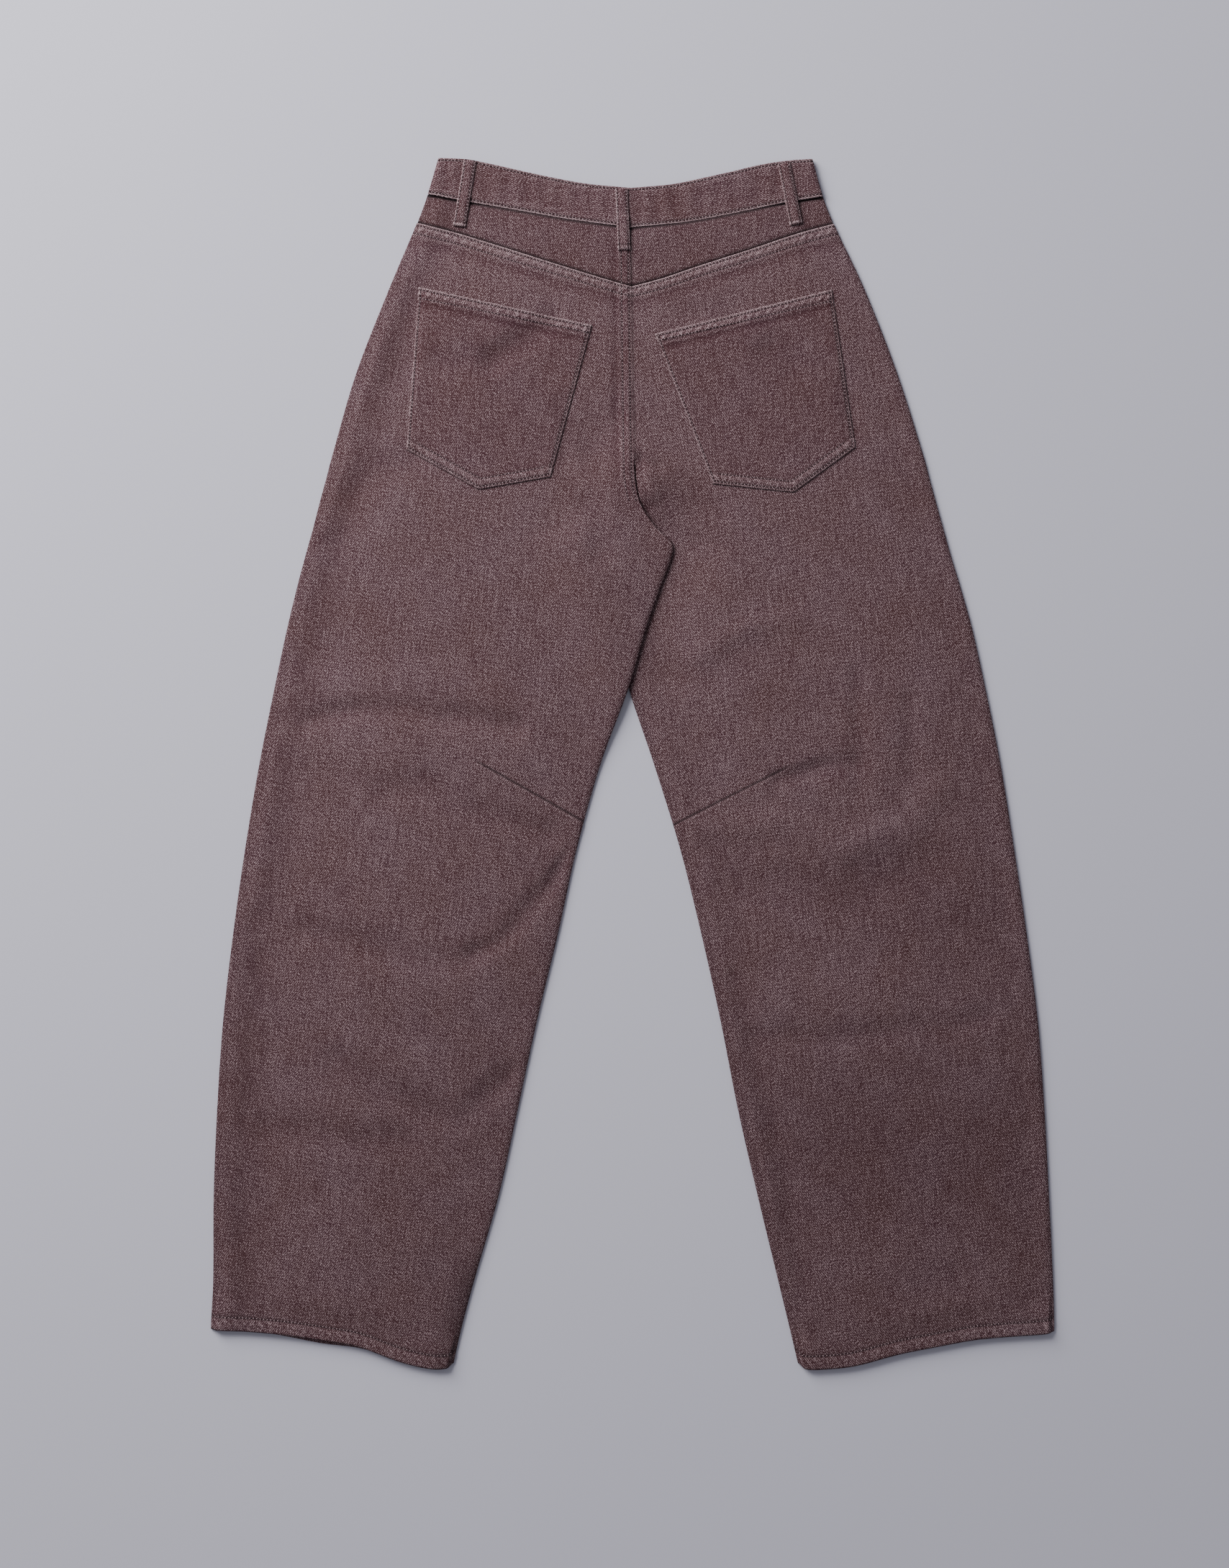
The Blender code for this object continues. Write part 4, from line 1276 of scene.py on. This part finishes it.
def stitch_rows():
    """The node tree that turns lines into rows of small beads, each laid along its line."""
    tree = bpy.data.node_groups.new("stitch rows", "GeometryNodeTree")
    for name, way, kind in (
        ("Rows", "INPUT", "NodeSocketGeometry"),
        ("Pitch", "INPUT", "NodeSocketFloat"),
        ("Size", "INPUT", "NodeSocketVector"),
        ("Thread", "INPUT", "NodeSocketMaterial"),
        ("Stitches", "OUTPUT", "NodeSocketGeometry"),
    ):
        tree.interface.new_socket(name, in_out=way, socket_type=kind)
    given = add_node(tree, "NodeGroupInput").outputs
    line = add_node(tree, "GeometryNodeMeshToCurve", (), {"Mesh": given["Rows"]}).outputs[0]
    by_length = {"Curve": line, "Length": given["Pitch"]}
    spots = add_node(tree, "GeometryNodeCurveToPoints", {"mode": "LENGTH"}, by_length).outputs
    align = "FunctionNodeAlignRotationToVector"
    along = add_node(tree, align, {"axis": "X"}, {"Vector": spots["Tangent"]}).outputs[0]
    upward = {"Rotation": along, "Vector": (0.0, 0.0, 1.0)}
    laid = add_node(tree, align, {"axis": "Z", "pivot_axis": "X"}, upward).outputs[0]
    bead_inputs = {"Segments": 6, "Rings": 4, "Radius": 0.5}
    bead = add_node(tree, "GeometryNodeMeshUVSphere", (), bead_inputs).outputs[0]
    each = {"Points": spots["Points"], "Instance": bead, "Rotation": laid, "Scale": given["Size"]}
    beads = add_node(tree, "GeometryNodeInstanceOnPoints", (), each).outputs[0]
    real = add_node(tree, "GeometryNodeRealizeInstances", (), {"Geometry": beads}).outputs[0]
    smooth = add_node(tree, "GeometryNodeSetShadeSmooth", (), {"Geometry": real}).outputs[0]
    coloured = {"Geometry": smooth, "Material": given["Thread"]}
    done = add_node(tree, "GeometryNodeSetMaterial", (), coloured).outputs[0]
    add_node(tree, "NodeGroupOutput", (), {"Stitches": done})
    return tree


def cotton(name, colour, roughness):
    """Spun cotton, matt, its colour and height uneven from fibre to fibre."""
    made, tree, shader = new_material(name)
    place = add_node(tree, "ShaderNodeTexCoord").outputs["Object"]
    fibres = add_node(tree, "ShaderNodeTexNoise", (), {"Vector": place, "Scale": 700.0}).outputs[0]
    spread = {"Value": fibres, "To Min": 0.6, "To Max": 1.4}
    value = add_node(tree, "ShaderNodeMapRange", (), spread).outputs[0]
    tinted = {"Color": (*to_linear(colour), 1.0), "Value": value}
    shaded = add_node(tree, "ShaderNodeHueSaturation", (), tinted).outputs[0]
    tree.links.new(shaded, shader.inputs["Base Color"])
    bump_inputs = {"Height": fibres, "Strength": 0.4, "Distance": 0.0002}
    bump = add_node(tree, "ShaderNodeBump", (), bump_inputs).outputs[0]
    tree.links.new(bump, shader.inputs["Normal"])
    shader.inputs["Roughness"].default_value = roughness
    shader.inputs["Specular IOR Level"].default_value = 0.2
    return made


def row_on(over, corners, start=0.0):
    """Points half a stitch apart along a line in plan, at the height of the cloth. The row is a
    whole number of stitches long and is cut by start at both ends."""
    corners = np.array(corners, float)
    reached = np.concatenate([[0.0], np.hypot(*np.diff(corners, axis=0).T).cumsum()])
    length = reached[-1] // STITCH_PITCH * STITCH_PITCH
    at = np.linspace(start, length - start, max(2, round(length / (STITCH_PITCH / 2))))
    x, y = np.interp(at, reached, corners[:, 0]), np.interp(at, reached, corners[:, 1])
    return np.stack([x, y, over(x, y) + THREAD_LIFT], -1)


def inset(corners, distance):
    """A polygon's corners moved inwards, so that its sides are this far from where they were."""
    points = np.array(corners, float)
    following = np.roll(points, -1, axis=0)
    ways = (following - points) / np.hypot(*(following - points).T)[:, None]
    turn = np.sign(np.sum(points[:, 0] * following[:, 1] - points[:, 1] * following[:, 0]))
    normals = turn * np.stack([-ways[:, 1], ways[:, 0]], -1)
    before = np.roll(normals, 1, axis=0)
    return points + distance * (before + normals) / (1 + np.sum(before * normals, axis=1))[:, None]


def yoke_over(side, x, y):
    return back_under(side, x, y) + CLOTH + yoke_finish(side, x, y)[0]


def seat_over(x, y):
    on_yoke = y > across_level(YOKE_SEAM, "left", 1.0)
    return np.where(on_yoke, yoke_over("left", x, y), back_over("left", x, y))


def waistband_over(x, y):
    high, low = level_across(WAIST_EDGE, x, y), level_across(WAIST_SEAM, x, y)
    return band_under(x, y) + BAND + band_finish(x, y, high, low)[0]


def across_row(side, rows, off):
    """A line in plan beside one of the seams that run across, off mm above it."""
    share = np.linspace(*ROW_SHARES, 60)
    y = across_level(rows, side, share) + off
    return np.stack([leg_x(side, y, share), y], -1)


rows = []
for side in SIDES:
    def on_back(x, y, side=side):
        return back_over(side, x, y)

    for off in FELLED_ROWS:
        rows.append((on_back, across_row(side, YOKE_SEAM, -off / YOKE_SLOPE)))
    rows.append((on_back, across_row(side, HEM_EDGE, HEM_ROW)))
    rows.append((waistband_over, across_row(side, WAIST_EDGE, -BAND_ROW)))
    rows.append((waistband_over, across_row(side, WAIST_SEAM, BAND_ROW)))
for off in FELLED_ROWS:
    y = np.linspace(*SEAT_ROW_LEVELS, 40)
    rows.append((seat_over, np.stack([inner_x("left", y) - off, y], -1)))
for pocket in POCKETS:
    def on_pocket(x, y, pocket=pocket):
        return pocket_over(pocket, x, y)[0]

    outline = pocket[2:]
    edge = inset(outline, POCKET_ROW)
    rows.append((on_pocket, [*edge, edge[0]]))
    deeper = inset(outline, POCKET_TOP_ROW)
    rows.append((on_pocket, [(edge[k][0], deeper[k][1]) for k in (0, 1)]))
    rows.append((on_pocket, inset(outline, POCKET_LOW_ROW)[2:]))

thread_tree = stitch_rows()
for title, size, start, finish in (
    ("sewing_thread", STITCH_SIZE, 0.0, cotton("dark cotton thread", THREAD_DARK, 0.7)),
    ("rubbed_dots", DOT_SIZE, STITCH_PITCH / 2, cotton("rubbed denim", RUBBED_PALE, 0.9)),
):
    lines = [row_on(over, line, start) for over, line in rows]
    for loop in LOOPS:
        down = np.linspace(LOOP_ROW_LEVELS[0] + start, LOOP_ROW_LEVELS[1] - start, 40)
        for aside in (LOOP_ROW - LOOP_WIDTH / 2, LOOP_WIDTH / 2 - LOOP_ROW):
            x, y, under, over, wear, shade = loop_grid(loop, np.full(down.shape, aside), down)
            lines.append(np.stack([x, y, over + THREAD_LIFT], -1))
    starts = np.cumsum([0] + [len(line) for line in lines])
    edges = [(k, k + 1) for a, b in zip(starts, starts[1:]) for k in range(a, b - 1)]
    mesh = bpy.data.meshes.new(title)
    mesh.from_pydata((np.concatenate(lines) * MM).tolist(), edges, [])
    stitches = bpy.data.objects.new(title, mesh)
    bpy.context.scene.collection.objects.link(stitches)
    made_by = stitches.modifiers.new("stitch rows", "NODES")
    made_by.node_group = thread_tree
    values = {"Pitch": STITCH_PITCH * MM, "Size": [s * MM for s in size], "Thread": finish}
    for socket in thread_tree.interface.items_tree:
        if socket.name in values:
            made_by[socket.identifier] = values[socket.name]
    evaluated = stitches.evaluated_get(bpy.context.evaluated_depsgraph_get())
    solid = bpy.data.meshes.new_from_object(evaluated)
    stitches.modifiers.clear()
    stitches.data = solid
    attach(stitches, "root")

# Fly: zip, shield and waist button
# The front closure, hidden between the layers: a zip on woven tape, the shield of denim behind it,
# and a dark metal button in the waistband, which shows only from underneath.
FLY_LENGTH = 140.0
ZIP_THICK = 1.0
ZIP_TEETH = 0.0016
TEETH_HALF_WIDTH = 0.0028
ZIP_LEVEL = 380.0
TAPE_COLOUR = "#2E2326"
TEETH_COLOUR = "#5B4F4A"
BUTTON_COLOUR = "#4A423E"


def zip_finish():
    """Woven polyester tape, with two rows of small dark metal teeth that meet in the middle."""
    made, tree, shader = new_material("polyester zip tape with metal teeth")
    place = add_node(tree, "ShaderNodeTexCoord").outputs["Object"]
    parts = add_node(tree, "ShaderNodeSeparateXYZ", (), {0: place}).outputs
    wave_inputs = {"Vector": place, "Scale": 2 * pi / (WAVE_TURN * ZIP_TEETH)}
    rungs = add_node(tree, "ShaderNodeTexWave", {"bands_direction": "Y"}, wave_inputs).outputs["Fac"]
    found = parts["X"]
    for operation, second in (
        ("ADD", -float(inner_x("left", ZIP_LEVEL)) * MM),
        ("ABSOLUTE", 0.0),
        ("LESS_THAN", TEETH_HALF_WIDTH),
        ("MULTIPLY", rungs),
    ):
        inputs = {0: found, 1: second}
        found = add_node(tree, "ShaderNodeMath", {"operation": operation}, inputs).outputs[0]
    colours = {0: found, 6: (*to_linear(TAPE_COLOUR), 1.0), 7: (*to_linear(TEETH_COLOUR), 1.0)}
    mixed = add_node(tree, "ShaderNodeMix", {"data_type": "RGBA"}, colours).outputs[2]
    tree.links.new(mixed, shader.inputs["Base Color"])
    bump_inputs = {"Height": rungs, "Strength": 0.5, "Distance": 0.0003}
    bump = add_node(tree, "ShaderNodeBump", (), bump_inputs).outputs[0]
    tree.links.new(bump, shader.inputs["Normal"])
    shader.inputs["Roughness"].default_value = 0.7
    return made


def button_metal():
    """Dark plated steel, turned, so that its gloss varies a little."""
    made, tree, shader = new_material("dark plated steel")
    shader.inputs["Base Color"].default_value = (*to_linear(BUTTON_COLOUR), 1.0)
    shader.inputs["Metallic"].default_value = 1.0
    place = add_node(tree, "ShaderNodeTexCoord").outputs["Object"]
    marks = add_node(tree, "ShaderNodeTexNoise", (), {"Vector": place, "Scale": 900.0}).outputs[0]
    spread = {"Value": marks, "To Min": 0.3, "To Max": 0.5}
    gloss = add_node(tree, "ShaderNodeMapRange", (), spread).outputs[0]
    tree.links.new(gloss, shader.inputs["Roughness"])
    return made


fly_top = float(across_level(WAIST_SEAM, "left", 1.0)) - FRONT_DIP - 1.5
fly_middle = float(inner_x("left", fly_top))
for name, node, left, right, length, under_z, thick in (
    ("zip_tape", "zip", -12, 12, FLY_LENGTH, CLOTH + SEAM_GAP, ZIP_THICK),
    ("shield", "fly_shield", -10, 28, FLY_LENGTH + 12, CLOTH + 2 * SEAM_GAP + ZIP_THICK, CLOTH),
):
    across = np.linspace(fly_middle + left, fly_middle + right, 12)
    x, level = np.meshgrid(across, np.linspace(fly_top, fly_top - length, 50))
    under = np.full(x.shape, float(under_z))
    strip = cloth_piece(name, x, level, under, under + thick, grain("left", x, level))
    if node == "zip":
        strip.data.materials[0] = zip_finish()
        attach(strip, "root")
        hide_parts(node)
    else:
        laid_cloth(strip, node)

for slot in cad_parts["waist_button"].material_slots:
    slot.material = button_metal()
